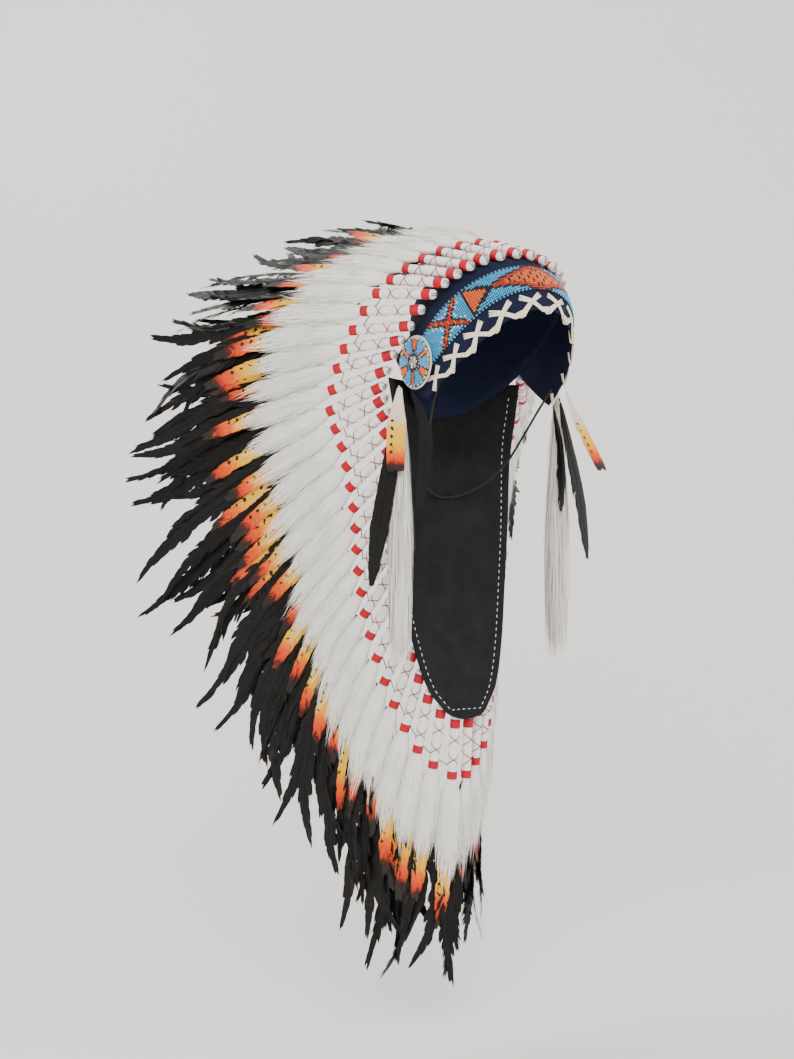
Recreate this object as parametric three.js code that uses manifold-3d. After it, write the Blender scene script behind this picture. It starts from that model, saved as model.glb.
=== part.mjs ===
import * as THREE from 'three';
import { mergeVertices } from 'three/addons/utils/BufferGeometryUtils.js';
import Module from 'manifold-3d';

// Feathered headdress with a trailer. Millimetres, +Z up. The wearer looks along -Y and the wearer's
// left is +X. The origin is the inside of the cap's crown, where it rests on the top of the head.

// ---- driving dimensions: millimetres and degrees ----

const head = { halfWidth: 82, halfDepth: 98, height: 81 };
const cap = { thickness: 1.5, rimAcross: 0.82, ringAngles: [56, 30] };
const band = {
  tilt: 42, // of the band's plane from level
  featherLevel: -54, // of the feather edge along the band's axis
  lowerLevel: -118, // of the lower edge at the front centre
  bow: 7, // how much lower that edge lies at the temples
  inner: 1.8,
  outer: 3.8,
  step: 15, // between the columns of facets
  stripEnd: 105, // where the bead strip stops at each temple
  endLow: 124, // the band's end at its lower edge
  endRise: 11, // how much further round it ends at the feather edge
  flare: 15, // outward at the temple, where the feathers spread
  flareStart: 96,
  flareSpan: 42,
};
const bandRows = [0, 0.3, 0.56, 0.82, 1.12];
const beadStrip = { rows: [0.3, 0.56, 0.82], inner: 4.1, outer: 6.3 };
const rosette = { radius: 28, thickness: 1.8, crown: 3.4, around: 113, across: 0.54, lift: 7.4 };
const rosetteReach = { round: 15, up: 0.36 };
const backing = { radius: 29.5, thickness: 1.2, gap: 0.3 };
const lacing = { spacing: 33, pairs: 5, footInner: 4, footOuter: 10, waist: 3.6, inner: 4.1, outer: 5.1 };
const lacingRows = { bottom: 0, binding: 0.036, low: 0.094, middle: 0.138, high: 0.182, top: 0.24 };
const wrap = { length: 76, radius: 5.5, sides: 6, liftOffHead: 11.7, liftOffFelt: 7.2, threadAt: 61 };
const threadRadius = 0.9;
const felt = { thickness: 2, columns: 6 };
const cord = { radius: 1.5, sides: 8, steps: 42 };

// The line that the wraps start on, by unit. There are 31 units on each side: the front centre is 0.5
// and the bottom centre is 31.5. The first rows lie on the band's feather edge, by the angle round it.
const unitsOnBand = [
  { unit: 0.5, around: 0 },
  { unit: 3, around: 28 },
  { unit: 5, around: 47 },
  { unit: 7, around: 68 },
  { unit: 9, around: 97 },
  { unit: 11, around: 125 },
];
// The other rows lie on the trailer's back.
const unitsOnFelt = [
  { unit: 13, out: 86, up: -143 },
  { unit: 15, out: 77, up: -171 },
  { unit: 18, out: 70, up: -232 },
  { unit: 21, out: 70, up: -299 },
  { unit: 24, out: 65, up: -366 },
  { unit: 27, out: 52, up: -438 },
  { unit: 29, out: 38, up: -485 },
  { unit: 30.5, out: 17, up: -508 },
  { unit: 31.5, out: 0, up: -515 },
];
// The trailer from its rounded bottom up: half width, and how far back its edges and centre lie.
const feltShape = [
  { up: -521, half: 7, edgeBack: 41.2, centreBack: 41.4 },
  { up: -516, half: 22, edgeBack: 42.6, centreBack: 43.4 },
  { up: -508, half: 31, edgeBack: 45.2, centreBack: 47.5 },
  { up: -485, half: 47.5, edgeBack: 51, centreBack: 56 },
  { up: -438, half: 61.5, edgeBack: 58.8, centreBack: 66 },
  { up: -366, half: 74, edgeBack: 68.5, centreBack: 78 },
  { up: -299, half: 79, edgeBack: 69.5, centreBack: 84 },
  { up: -232, half: 79, edgeBack: 66, centreBack: 91 },
  { up: -198, half: 82, edgeBack: 64, centreBack: 103.6 },
  { up: -171, half: 86, edgeBack: 63, centreBack: 104 },
  { up: -136, half: 92, edgeBack: 64, centreBack: 104 },
];
// How the feathers point and hang by unit. sweep turns back from sideways, rise turns up from level,
// droop and retract are what a feather 300 mm long has sunk and drawn back at its tip.
const flow = [
  { unit: 0.5, sweep: 90, rise: 17, droop: 4, retract: 0, length: 300 },
  { unit: 3, sweep: 80, rise: 14, droop: 6, retract: 0, length: 322 },
  { unit: 5, sweep: 69, rise: 9.5, droop: 16, retract: 2, length: 342 },
  { unit: 7, sweep: 59, rise: 4, droop: 20, retract: 4, length: 352 },
  { unit: 9, sweep: 53, rise: -2, droop: 36, retract: 14, length: 346 },
  { unit: 11, sweep: 51, rise: -12, droop: 20, retract: 20, length: 345 },
  { unit: 13, sweep: 51, rise: -23, droop: 8, retract: 12, length: 350 },
  { unit: 15, sweep: 52, rise: -35, droop: 8, retract: 6, length: 354 },
  { unit: 18, sweep: 53, rise: -44, droop: 14, retract: 10, length: 342 },
  { unit: 21, sweep: 54, rise: -50, droop: 32, retract: 34, length: 332 },
  { unit: 24, sweep: 55, rise: -58, droop: 38, retract: 66, length: 325 },
  { unit: 27, sweep: 58, rise: -68, droop: 24, retract: 58, length: 320 },
  { unit: 29, sweep: 65, rise: -77, droop: 8, retract: 28, length: 312 },
  { unit: 30.5, sweep: 75, rise: -82, droop: 4, retract: 6, length: 304 },
  { unit: 31.5, sweep: 90, rise: -87, droop: 4, retract: 0, length: 300 },
];
const bend = { start: 75, full: 300, power: 2.2 };
const longFeather = { side: 'right', unit: 15, extra: 36 };

// The feathers hang in layers behind the fluffs. Each layer is a row of blades joined by a root web.
const bladeGap = 0.6;
const centreGap = 0.4; // from the centre line to the feathers of either side
const seam = 0.03; // of a unit, left free on each side where two stretches meet
const stretches = [
  { first: 1, last: 6 },
  { first: 7, last: 12 },
  { first: 13, last: 18 },
  { first: 19, last: 24 },
  { first: 25, last: 31 },
];
const fluff = { start: 76.4, end: 178, rootHalf: 6, tipHalf: 5 };
const fluffThickness = { root: 4, crest: 7, valley: 3, late: 6.4, lateValley: 2.4, tip: 1.6 };
const painted = { rows: [100, 110, 150, 190], half: 8, tip: 215, front: -8.1, back: -9.3 };
const black = { rows: [110, 150, 190], front: -12.6, back: -14 };
const blade = { shoulder: 230, shoulderHalf: 12.5, belly: 272, bellyHalf: 9.5, tipHalf: 1.5 };
const stray = { start: 190, span: 110, across: 7, lift: 7, length: 16 };

// ---- helpers ----

const point = (x, y, z) => new THREE.Vector3(x, y, z);
const radians = THREE.MathUtils.degToRad;

const wasm = await Module();
wasm.setup();

// Columns that read the same on both sides of the centre line, so that they level out where it is crossed.
const evenColumns = ['y', 'z', 'rise', 'droop', 'retract', 'length'];

// A column of a table at any value of its key, on a smooth curve through the rows.
function along(table, key, column, at) {
  const last = table.length - 1;
  let low = 0;
  while (low < last - 1 && table[low + 1][key] < at) low += 1;
  const slope = (row) => {
    if (evenColumns.includes(column) && (row === 0 || row === last)) return 0;
    const before = table[Math.max(row - 1, 0)];
    const after = table[Math.min(row + 1, last)];
    return (after[column] - before[column]) / (after[key] - before[key]);
  };
  const span = table[low + 1][key] - table[low][key];
  const t = THREE.MathUtils.clamp((at - table[low][key]) / span, 0, 1);
  const blend = 3 * t ** 2 - 2 * t ** 3;
  const values = table[low][column] * (1 - blend) + table[low + 1][column] * blend;
  const turns = slope(low) * (t ** 3 - 2 * t ** 2 + t) + slope(low + 1) * (t ** 3 - t ** 2);
  return values + span * turns;
}

// A repeatable scatter from -1 to 1 for a feather.
function scatter(side, unit, salt) {
  const wave = Math.sin(unit * 12.9898 + salt * 78.233 + (side === 'left' ? 37.719 : 0)) * 43758.5453;
  return 2 * (wave - Math.floor(wave)) - 1;
}

// A closed mesh from corners and triangles, with its faces turned outwards.
function closedMesh(corners, faces) {
  const volume = faces.reduce(
    (sum, [a, b, c]) => sum + corners[a].dot(point(0, 0, 0).crossVectors(corners[b], corners[c])),
    0,
  );
  const outward = volume > 0 ? faces : faces.map(([a, b, c]) => [a, c, b]);
  const geometry = new THREE.BufferGeometry();
  const positions = corners.flatMap((corner) => [corner.x, corner.y, corner.z]);
  geometry.setAttribute('position', new THREE.Float32BufferAttribute(positions, 3));
  geometry.setIndex(outward.flat());
  return geometry;
}

// A slab between two skins of matching corners, walled along every free edge.
function slab(front, back, faces) {
  const free = new Map();
  for (const [a, b, c] of faces) {
    for (const [from, to] of [[a, b], [b, c], [c, a]]) {
      if (!free.delete(`${to}_${from}`)) free.set(`${from}_${to}`, [from, to]);
    }
  }
  const shift = front.length;
  const all = faces.flatMap(([a, b, c]) => [[a, b, c], [a + shift, c + shift, b + shift]]);
  for (const [from, to] of free.values()) {
    all.push([from, from + shift, to], [to, from + shift, to + shift]);
  }
  return closedMesh([...front, ...back], all);
}

// Triangles of a grid whose corner numbers run along the rows of each column.
function gridFaces(columns, rows, closed = false) {
  const faces = [];
  const spans = closed ? columns : columns - 1;
  for (let column = 0; column < spans; column += 1) {
    for (let row = 0; row < rows - 1; row += 1) {
      const here = column * rows + row;
      const next = ((column + 1) % columns) * rows + row;
      faces.push([here, next, here + 1], [next, next + 1, here + 1]);
    }
  }
  return faces;
}

// A closed body through rings of matching corners, with flat ends.
function loft(rings) {
  const sides = rings[0].length;
  const faces = [];
  for (let ring = 0; ring < rings.length - 1; ring += 1) {
    for (let side = 0; side < sides; side += 1) {
      const here = ring * sides + side;
      const next = ring * sides + ((side + 1) % sides);
      faces.push([here, next, here + sides], [next, next + sides, here + sides]);
    }
  }
  const last = (rings.length - 1) * sides;
  for (let side = 1; side < sides - 1; side += 1) {
    faces.push([0, side + 1, side], [last, last + side, last + side + 1]);
  }
  return closedMesh(rings.flat(), faces);
}

// Joins overlapping closed meshes into one.
function fuse(geometries) {
  const solids = geometries.map((geometry) => {
    const plain = geometry.clone();
    plain.deleteAttribute('normal');
    plain.deleteAttribute('uv');
    const merged = mergeVertices(plain);
    return new wasm.Manifold(new wasm.Mesh({
      numProp: 3,
      vertProperties: new Float32Array(merged.attributes.position.array),
      triVerts: new Uint32Array(merged.index.array),
    }));
  });
  const mesh = solids.reduce((sum, solid) => sum.add(solid)).getMesh();
  const joined = new THREE.BufferGeometry();
  joined.setAttribute('position', new THREE.BufferAttribute(new Float32Array(mesh.vertProperties), 3));
  joined.setIndex(new THREE.BufferAttribute(new Uint32Array(mesh.triVerts), 1));
  return joined;
}

const parts = new THREE.Group();

// Adds a named piece with its own material.
function addPart(name, geometry, finish) {
  geometry.computeVertexNormals();
  const mesh = new THREE.Mesh(geometry, new THREE.MeshStandardMaterial(finish));
  mesh.name = name;
  parts.add(mesh);
  return mesh;
}

const navyCloth = { color: 0x1a2242, roughness: 0.85, metalness: 0 };
const blackFelt = { color: 0x232526, roughness: 0.95, metalness: 0 };
const blueBeads = { color: 0x6ec8eb, roughness: 0.3, metalness: 0 };
const paleLeather = { color: 0xe9e3d2, roughness: 0.7, metalness: 0 };
const creamLace = { color: 0xebe1be, roughness: 0.6, metalness: 0 };
const whiteThread = { color: 0xf2efe8, roughness: 0.7, metalness: 0 };
const whiteDown = { color: 0xf6f4f0, roughness: 1, metalness: 0 };
const dyedFeather = { color: 0xe07a24, roughness: 0.6, metalness: 0 };
const blackFeather = { color: 0x141312, roughness: 0.55, metalness: 0 };
const blackCord = { color: 0x101010, roughness: 0.8, metalness: 0 };

// ---- head form, cap and band ----

const headCentre = point(0, 0, -head.height);
const bandAxis = point(0, Math.sin(radians(band.tilt)), Math.cos(radians(band.tilt)));
const upForward = point(0, -Math.cos(radians(band.tilt)), Math.sin(radians(band.tilt)));

// 1 on the head form, less inside: half an egg on an upright wall.
function headValue(place) {
  const rise = Math.max(0, place.z - headCentre.z);
  return (place.x / head.halfWidth) ** 2 + (place.y / head.halfDepth) ** 2 + (rise / head.height) ** 2;
}

// The direction straight out of the head form at a place on it.
function headNormal(place) {
  const rise = Math.max(0, place.z - headCentre.z);
  const slopes = [place.x / head.halfWidth ** 2, place.y / head.halfDepth ** 2, rise / head.height ** 2];
  return point(...slopes).normalize();
}

// Where a ray from inside meets the head form, lifted off it.
function headMeet(from, direction, lift) {
  let near = 0;
  let far = 300;
  for (let turn = 0; turn < 40; turn += 1) {
    const middle = (near + far) / 2;
    if (headValue(from.clone().addScaledVector(direction, middle)) < 1) near = middle;
    else far = middle;
  }
  const place = from.clone().addScaledVector(direction, near);
  return place.addScaledVector(headNormal(place), lift);
}

// The outward direction across the band's axis, by the angle round from the forehead.
function spoke(around) {
  const forward = upForward.clone().multiplyScalar(Math.cos(radians(around)));
  return forward.add(point(Math.sin(radians(around)), 0, 0));
}

// The place on the band's axis that is level with a share of the way up the band.
function levelOn(around, across) {
  const lower = band.lowerLevel - band.bow * Math.sin(radians(around)) ** 2;
  const level = lower + across * (band.featherLevel - lower);
  return headCentre.clone().addScaledVector(bandAxis, level - bandAxis.dot(headCentre));
}

// A place on the band by its angle, its share of the way up the band, and its lift off the head.
function bandPoint(around, across, lift) {
  const place = headMeet(levelOn(around, across), spoke(around), lift);
  const past = Math.max(0, Math.abs(around) - band.flareStart) / band.flareSpan;
  place.x += Math.sign(around) * band.flare * past ** 1.5 * Math.max(0, across) ** 1.5;
  return place;
}

// The cap: a dome whose rim is tucked under the band and comes down to the nape.
function capCrown() {
  const columns = 360 / band.step;
  const skin = (lift) => {
    const corners = [];
    for (let column = 0; column < columns; column += 1) {
      const around = column * band.step;
      for (const across of [cap.rimAcross, bandRows.at(-1)]) {
        corners.push(headMeet(levelOn(around, across), spoke(around), lift));
      }
      for (const angle of cap.ringAngles) {
        const direction = bandAxis.clone().multiplyScalar(Math.cos(radians(angle)));
        direction.addScaledVector(spoke(around), Math.sin(radians(angle)));
        corners.push(headMeet(headCentre, direction, lift));
      }
    }
    corners.push(headMeet(headCentre, bandAxis, lift));
    return corners;
  };
  const rows = 2 + cap.ringAngles.length;
  const faces = gridFaces(columns, rows, true);
  for (let column = 0; column < columns; column += 1) {
    const next = (column + 1) % columns;
    faces.push([column * rows + rows - 1, next * rows + rows - 1, columns * rows]);
  }
  return slab(skin(cap.thickness), skin(0), faces);
}

// A curved strip on the band, column by column.
function bandStrip(columns, rows, inner, outer) {
  const skin = (lift) => columns.flatMap((column) => rows.map((row) => bandPoint(column(row), row, lift)));
  return slab(skin(outer), skin(inner), gridFaces(columns.length, rows.length));
}

function bandColumns(last) {
  const columns = [];
  for (let around = -last; around <= last; around += band.step) columns.push(() => around);
  return columns;
}

function browBand() {
  const end = (side) => (row) => side * (band.endLow + band.endRise * row);
  const short = (side) => (row) => side * (band.stripEnd + band.endLow + band.endRise * row) / 2;
  const columns = [end(-1), short(-1), ...bandColumns(band.stripEnd), short(1), end(1)];
  return bandStrip(columns, bandRows, band.inner, band.outer);
}

// The angle round the band at a distance along its lower edge from the front centre.
function aroundAt(arc) {
  let around = 0;
  let run = 0;
  let last = bandPoint(0, 0, band.outer);
  while (run < Math.abs(arc)) {
    around += 0.25;
    const next = bandPoint(around, 0, band.outer);
    run += next.distanceTo(last);
    last = next;
  }
  return Math.sign(arc) * around;
}

// Cream lace: a binding along the lower edge, and crosses that stand on it.
function edgeLacing() {
  const corners = [];
  const corner = (arc, across) => corners.push([aroundAt(arc), across]) - 1;
  const faces = [];
  const patch = (a, b, c, d) => faces.push([a, b, c], [a, c, d]);
  const feet = [-lacing.footOuter, -lacing.footInner, lacing.footInner, lacing.footOuter];
  const { bottom, binding, low, middle, high, top } = lacingRows;
  let previous = null;
  for (let index = -lacing.pairs; index < lacing.pairs; index += 1) {
    const centre = (index + 0.5) * lacing.spacing;
    const foot = feet.map((offset) => ({
      low: corner(centre + offset, bottom),
      high: corner(centre + offset, binding),
    }));
    if (previous) patch(previous.low, foot[0].low, foot[0].high, previous.high);
    for (let span = 0; span < 3; span += 1) {
      patch(foot[span].low, foot[span + 1].low, foot[span + 1].high, foot[span].high);
    }
    previous = foot[3];
    const left = corner(centre - lacing.waist, middle);
    const right = corner(centre + lacing.waist, middle);
    const lower = corner(centre, low);
    const upper = corner(centre, high);
    const ends = feet.map((offset) => corner(centre + offset, top));
    patch(left, lower, right, upper);
    patch(foot[0].high, foot[1].high, lower, left);
    patch(foot[2].high, foot[3].high, right, lower);
    patch(left, upper, ends[1], ends[0]);
    patch(upper, right, ends[3], ends[2]);
  }
  const skin = (lift) => corners.map(([around, across]) => bandPoint(around, across, lift));
  return slab(skin(lacing.outer), skin(lacing.inner), faces);
}

// A turned disc, lying with its back at 0 and its face outward along the axis.
function disc(profile) {
  const shape = new THREE.LatheGeometry(profile.map(([x, y]) => new THREE.Vector2(x, y)), 20);
  shape.deleteAttribute('normal');
  shape.deleteAttribute('uv');
  return mergeVertices(shape);
}

// A rosette lies against the band, square to the plane through the band's points round its rim.
function addRosette(side) {
  const sign = side === 'left' ? 1 : -1;
  const onBand = (round, up) => bandPoint(sign * (rosette.around + round), rosette.across + up, band.outer);
  const round = onBand(rosetteReach.round, 0).sub(onBand(-rosetteReach.round, 0));
  const upward = onBand(0, rosetteReach.up).sub(onBand(0, -rosetteReach.up));
  const facing = point(0, 0, 0).crossVectors(round, upward).normalize();
  facing.multiplyScalar(Math.sign(facing.x) * sign);
  const turn = new THREE.Quaternion().setFromUnitVectors(point(0, 1, 0), facing);
  const beads = addPart(`rosette_${side}`, disc([
    [0, 0],
    [rosette.radius, 0],
    [rosette.radius, rosette.thickness],
    [0, rosette.crown],
  ]), blueBeads);
  beads.position.copy(onBand(0, 0)).addScaledVector(facing, rosette.lift);
  beads.quaternion.copy(turn);
  const leather = addPart(`rosette_backing_${side}`, disc([
    [0, 0],
    [backing.radius, 0],
    [backing.radius, backing.thickness],
    [0, backing.thickness],
  ]), paleLeather);
  leather.position.copy(beads.position).addScaledVector(facing, -backing.thickness - backing.gap);
  leather.quaternion.copy(turn);
}

// ---- trailer ----

// The trailer's middle surface bows forward towards its side edges.
function feltBack(out, up) {
  const edge = along(feltShape, 'up', 'edgeBack', up);
  const centre = along(feltShape, 'up', 'centreBack', up);
  return centre - (centre - edge) * (out / along(feltShape, 'up', 'half', up)) ** 2;
}

function feltPoint(out, up, lift) {
  const small = 0.5;
  const acrossSlope = (feltBack(out + small, up) - feltBack(out - small, up)) / (2 * small);
  const upSlope = (feltBack(out, up + small) - feltBack(out, up - small)) / (2 * small);
  const normal = point(-acrossSlope, 1, -upSlope).normalize();
  return point(out, feltBack(out, up), up).addScaledVector(normal, lift);
}

function trailer() {
  const columns = felt.columns + 1;
  const skin = (lift) => {
    const corners = [];
    for (let column = 0; column < columns; column += 1) {
      const share = (2 * column) / felt.columns - 1;
      for (const { up, half } of feltShape) corners.push(feltPoint(share * half, up, lift));
    }
    return corners;
  };
  return slab(skin(felt.thickness / 2), skin(-felt.thickness / 2), gridFaces(columns, feltShape.length));
}

// ---- feather rows, worked out for the wearer's left and mirrored for the right ----

const rootLine = [
  ...unitsOnBand.map(({ unit, around }) => ({ unit, ...bandPoint(around, 1, wrap.liftOffHead) })),
  ...unitsOnFelt.map(({ unit, out, up }) => ({ unit, ...feltPoint(out, up, wrap.liftOffFelt) })),
];

// A place on the sheet that the feathers lie in, by unit and distance from the root line.
function sheetPoint(unit, reach) {
  const read = (column) => along(flow, 'unit', column, unit);
  const sweep = radians(read('sweep'));
  const rise = radians(read('rise'));
  const level = point(Math.cos(sweep), Math.sin(sweep), 0);
  const direction = level.clone().multiplyScalar(Math.cos(rise)).add(point(0, 0, Math.sin(rise)));
  const hang = (Math.max(0, reach - bend.start) / (bend.full - bend.start)) ** bend.power;
  const place = point(...['x', 'y', 'z'].map((column) => along(rootLine, 'unit', column, unit)));
  place.addScaledVector(direction, reach);
  place.addScaledVector(level, -hang * read('retract'));
  place.z -= hang * read('droop');
  return place;
}

// The sheet's directions at a place: across the feathers, and out of their front face.
function sheetFrame(unit, reach) {
  const small = 0.05;
  const across = sheetPoint(unit + small, reach).sub(sheetPoint(unit - small, reach));
  const outward = sheetPoint(unit, reach + 1).sub(sheetPoint(unit, reach - 1)).normalize();
  const front = point(0, 0, 0).crossVectors(across, outward).normalize();
  const square = point(0, 0, 0).crossVectors(outward, front).normalize();
  return { front, across: square, spacing: across.dot(square) / (2 * small) };
}

// A place near a feather: so far across it and so far in front of the sheet.
function featherPoint(side, unit, reach, across, lift) {
  const frame = sheetFrame(unit, reach);
  const place = sheetPoint(unit, reach);
  place.addScaledVector(frame.across, across).addScaledVector(frame.front, lift);
  place.x = Math.max(place.x, centreGap) * (side === 'right' ? -1 : 1);
  return place;
}

// The line between two units, drawn in a little where a stretch ends.
function valley(stretch, unit) {
  if (unit < stretch.first) return unit + seam;
  if (unit > stretch.last) return unit - seam;
  return unit;
}

// Half the way to the next feather, or all of it to the centre line, less the gap between them.
function roomAt(unit, reach) {
  return Math.min(sheetFrame(unit, reach).spacing / 2, sheetPoint(unit, reach).x) - bladeGap;
}

// Collects matching front and back corners and the faces between them.
function skins() {
  const front = [];
  const back = [];
  const faces = [];
  return {
    corner: (inFront, behind) => {
      front.push(inFront);
      back.push(behind);
      return front.length - 1;
    },
    face: (...numbers) => faces.push(numbers),
    patch: (a, b, c, d) => faces.push([a, b, c], [a, c, d]),
    build: () => slab(front, back, faces),
  };
}

// Wrapped quill bases, strung on the thread that laces them together.
function wraps(side, stretch) {
  const bodies = [];
  const ring = (unit, reach, radius, sides) => {
    const corners = [];
    for (let index = 0; index < sides; index += 1) {
      const angle = (2 * Math.PI * (index + 0.5)) / sides;
      corners.push(featherPoint(side, unit, reach, radius * Math.cos(angle), radius * Math.sin(angle)));
    }
    return corners;
  };
  for (let unit = stretch.first; unit <= stretch.last; unit += 1) {
    bodies.push(loft([0, wrap.length].map((reach) => ring(unit, reach, wrap.radius, wrap.sides))));
  }
  for (let unit = stretch.first; unit < stretch.last; unit += 1) {
    const ends = [unit, unit + 1].map((place) => {
      const centre = featherPoint(side, place, wrap.threadAt, 0, 0);
      const { front } = sheetFrame(place, wrap.threadAt);
      const up = point(side === 'right' ? -front.x : front.x, front.y, front.z);
      const out = featherPoint(side, place, wrap.threadAt + 1, 0, 0).sub(centre).normalize();
      return [0, 1, 2].map((index) => {
        const angle = (2 * Math.PI * index) / 3;
        const offset = up.clone().multiplyScalar(Math.cos(angle)).addScaledVector(out, Math.sin(angle));
        return centre.clone().addScaledVector(offset, threadRadius);
      });
    });
    bodies.push(loft(ends));
  }
  return fuse(bodies);
}

// White down: a quilted row, thick at each unit and thin between, with a tuft at each end.
function fluffs(side, stretch) {
  const rows = skins();
  const at = (unit, reach, across, half) => rows.corner(
    featherPoint(side, unit, reach, across, half),
    featherPoint(side, unit, reach, across, -half),
  );
  const fold = (unit) => {
    const place = valley(stretch, unit);
    return [at(place, 110, 0, fluffThickness.valley), at(place, 150, 0, fluffThickness.lateValley)];
  };
  let before = fold(stretch.first - 0.5);
  for (let unit = stretch.first; unit <= stretch.last; unit += 1) {
    const after = fold(unit + 0.5);
    const rootLow = at(unit, fluff.start, -fluff.rootHalf, fluffThickness.root);
    const rootHigh = at(unit, fluff.start, fluff.rootHalf, fluffThickness.root);
    const crest = at(unit, 110, 0, fluffThickness.crest);
    const lateCrest = at(unit, 150, 0, fluffThickness.late);
    const tip = fluff.end + 8 * scatter(side, unit, 5);
    const tipLow = at(unit, tip, -fluff.tipHalf, fluffThickness.tip);
    const tipHigh = at(unit, tip, fluff.tipHalf, fluffThickness.tip);
    rows.face(rootLow, crest, before[0]);
    rows.face(rootLow, rootHigh, crest);
    rows.face(rootHigh, after[0], crest);
    rows.patch(before[0], crest, lateCrest, before[1]);
    rows.patch(crest, after[0], after[1], lateCrest);
    rows.face(before[1], lateCrest, tipLow);
    rows.face(lateCrest, tipHigh, tipLow);
    rows.face(lateCrest, after[1], tipHigh);
    before = after;
  }
  return rows.build();
}

// Short dyed feathers: pointed blades on a narrow web behind the fluffs.
function paintedRow(side, stretch) {
  const rows = skins();
  const at = (unit, reach, across) => rows.corner(
    featherPoint(side, unit, reach, across, painted.front),
    featherPoint(side, unit, reach, across, painted.back),
  );
  const [webStart, webEnd, middle, late] = painted.rows;
  const web = (unit) => [webStart, webEnd].map((reach) => at(valley(stretch, unit), reach, 0));
  let before = web(stretch.first - 0.5);
  for (let unit = stretch.first; unit <= stretch.last; unit += 1) {
    const after = web(unit + 0.5);
    const half = (reach) => Math.min(painted.half, roomAt(unit, reach));
    const low = [middle, late].map((reach) => at(unit, reach, -half(reach)));
    const high = [middle, late].map((reach) => at(unit, reach, half(reach)));
    rows.patch(before[0], after[0], after[1], before[1]);
    rows.patch(before[1], after[1], high[0], low[0]);
    rows.patch(low[0], high[0], high[1], low[1]);
    rows.face(low[1], high[1], at(unit, painted.tip, 0));
    before = after;
  }
  return rows.build();
}

// Long black feathers: blades that leave a common web and stray a little towards their tips.
function blackRow(side, stretch) {
  const rows = skins();
  const web = (unit) => black.rows.map((reach) => {
    const place = valley(stretch, unit);
    return rows.corner(
      featherPoint(side, place, reach, 0, black.front),
      featherPoint(side, place, reach, 0, black.back),
    );
  });
  let before = web(stretch.first - 0.5);
  for (let unit = stretch.first; unit <= stretch.last; unit += 1) {
    const after = web(unit + 0.5);
    const extra = side === longFeather.side && unit === longFeather.unit ? longFeather.extra : 0;
    const length = along(flow, 'unit', 'length', unit) + stray.length * scatter(side, unit, 1) + extra;
    const edge = (reach, widest) => {
      const half = Math.min(widest, roomAt(unit, reach));
      const spare = roomAt(unit, reach) - half;
      const loose = (Math.max(0, reach - stray.start) / stray.span) ** 2;
      const aside = Math.min(stray.across * loose, spare) * scatter(side, unit, 2);
      const lift = stray.lift * loose * scatter(side, unit, 3);
      return [-half, half].map((offset) => rows.corner(
        featherPoint(side, unit, reach, aside + offset, black.front + lift),
        featherPoint(side, unit, reach, aside + offset, black.back + lift),
      ));
    };
    const shoulder = edge(blade.shoulder, blade.shoulderHalf);
    const belly = edge(blade.belly, blade.bellyHalf);
    const tip = edge(length, blade.tipHalf);
    for (let row = 0; row < 2; row += 1) rows.patch(before[row], after[row], after[row + 1], before[row + 1]);
    rows.patch(before[2], after[2], shoulder[1], shoulder[0]);
    rows.patch(shoulder[0], shoulder[1], belly[1], belly[0]);
    rows.patch(belly[0], belly[1], tip[1], tip[0]);
    before = after;
  }
  return rows.build();
}

// ---- drops at the temples ----

// Fur: rings down a hanging tail, with locks below it.
const furRings = [
  { up: -156, halfOut: 4, halfBack: 7 },
  { up: -176, halfOut: 7, halfBack: 9 },
  { up: -240, halfOut: 10, halfBack: 14 },
  { up: -320, halfOut: 12, halfBack: 19 },
  { up: -390, halfOut: 11, halfBack: 18 },
];
const furLocks = [
  { out: 4, back: -12, tip: -428 },
  { out: -4, back: -5, tip: -450 },
  { out: 3, back: 1, tip: -456 },
  { out: -3, back: 8, tip: -446 },
  { out: 3, back: 13, tip: -425 },
];
const lock = { start: -360, topHalf: 5.5, tipHalf: 1.2, spread: 1.2, sides: 5 };

const ovalRing = (out, back, up, halfOut, halfBack, sides) => {
  const corners = [];
  for (let index = 0; index < sides; index += 1) {
    const angle = (2 * Math.PI * index) / sides;
    corners.push(point(out + halfOut * Math.cos(angle), back + halfBack * Math.sin(angle), up));
  }
  return corners;
};

function furDrop(out, back) {
  const tail = loft(furRings.map((ring) => ovalRing(out, back, ring.up, ring.halfOut, ring.halfBack, 8)));
  const ring = (strand, spread, up, half) => (
    ovalRing(out + strand.out * spread, back + strand.back * spread, up, half, half, lock.sides)
  );
  const locks = furLocks.map((strand) => loft([
    ring(strand, 1, lock.start, lock.topHalf),
    ring(strand, lock.spread, strand.tip, lock.tipHalf),
  ]));
  return fuse([tail, ...locks]);
}

const dropThickness = 1.2;

// A flat feather along a line of places, each with its half width, facing one way.
function dropFeather(facing, places) {
  const rows = skins();
  const ribs = places.map(({ at, half }, index) => {
    const before = point(...places[Math.max(index - 1, 0)].at);
    const after = point(...places[Math.min(index + 1, places.length - 1)].at);
    const across = point(0, 0, 0).crossVectors(after.sub(before), facing).normalize();
    return [-half, half].map((offset) => {
      const place = point(...at).addScaledVector(across, offset);
      return rows.corner(place, place.clone().addScaledVector(facing, -dropThickness));
    });
  });
  for (let rib = 0; rib < ribs.length - 1; rib += 1) {
    rows.patch(ribs[rib][0], ribs[rib][1], ribs[rib + 1][1], ribs[rib + 1][0]);
  }
  return rows.build();
}

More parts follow.
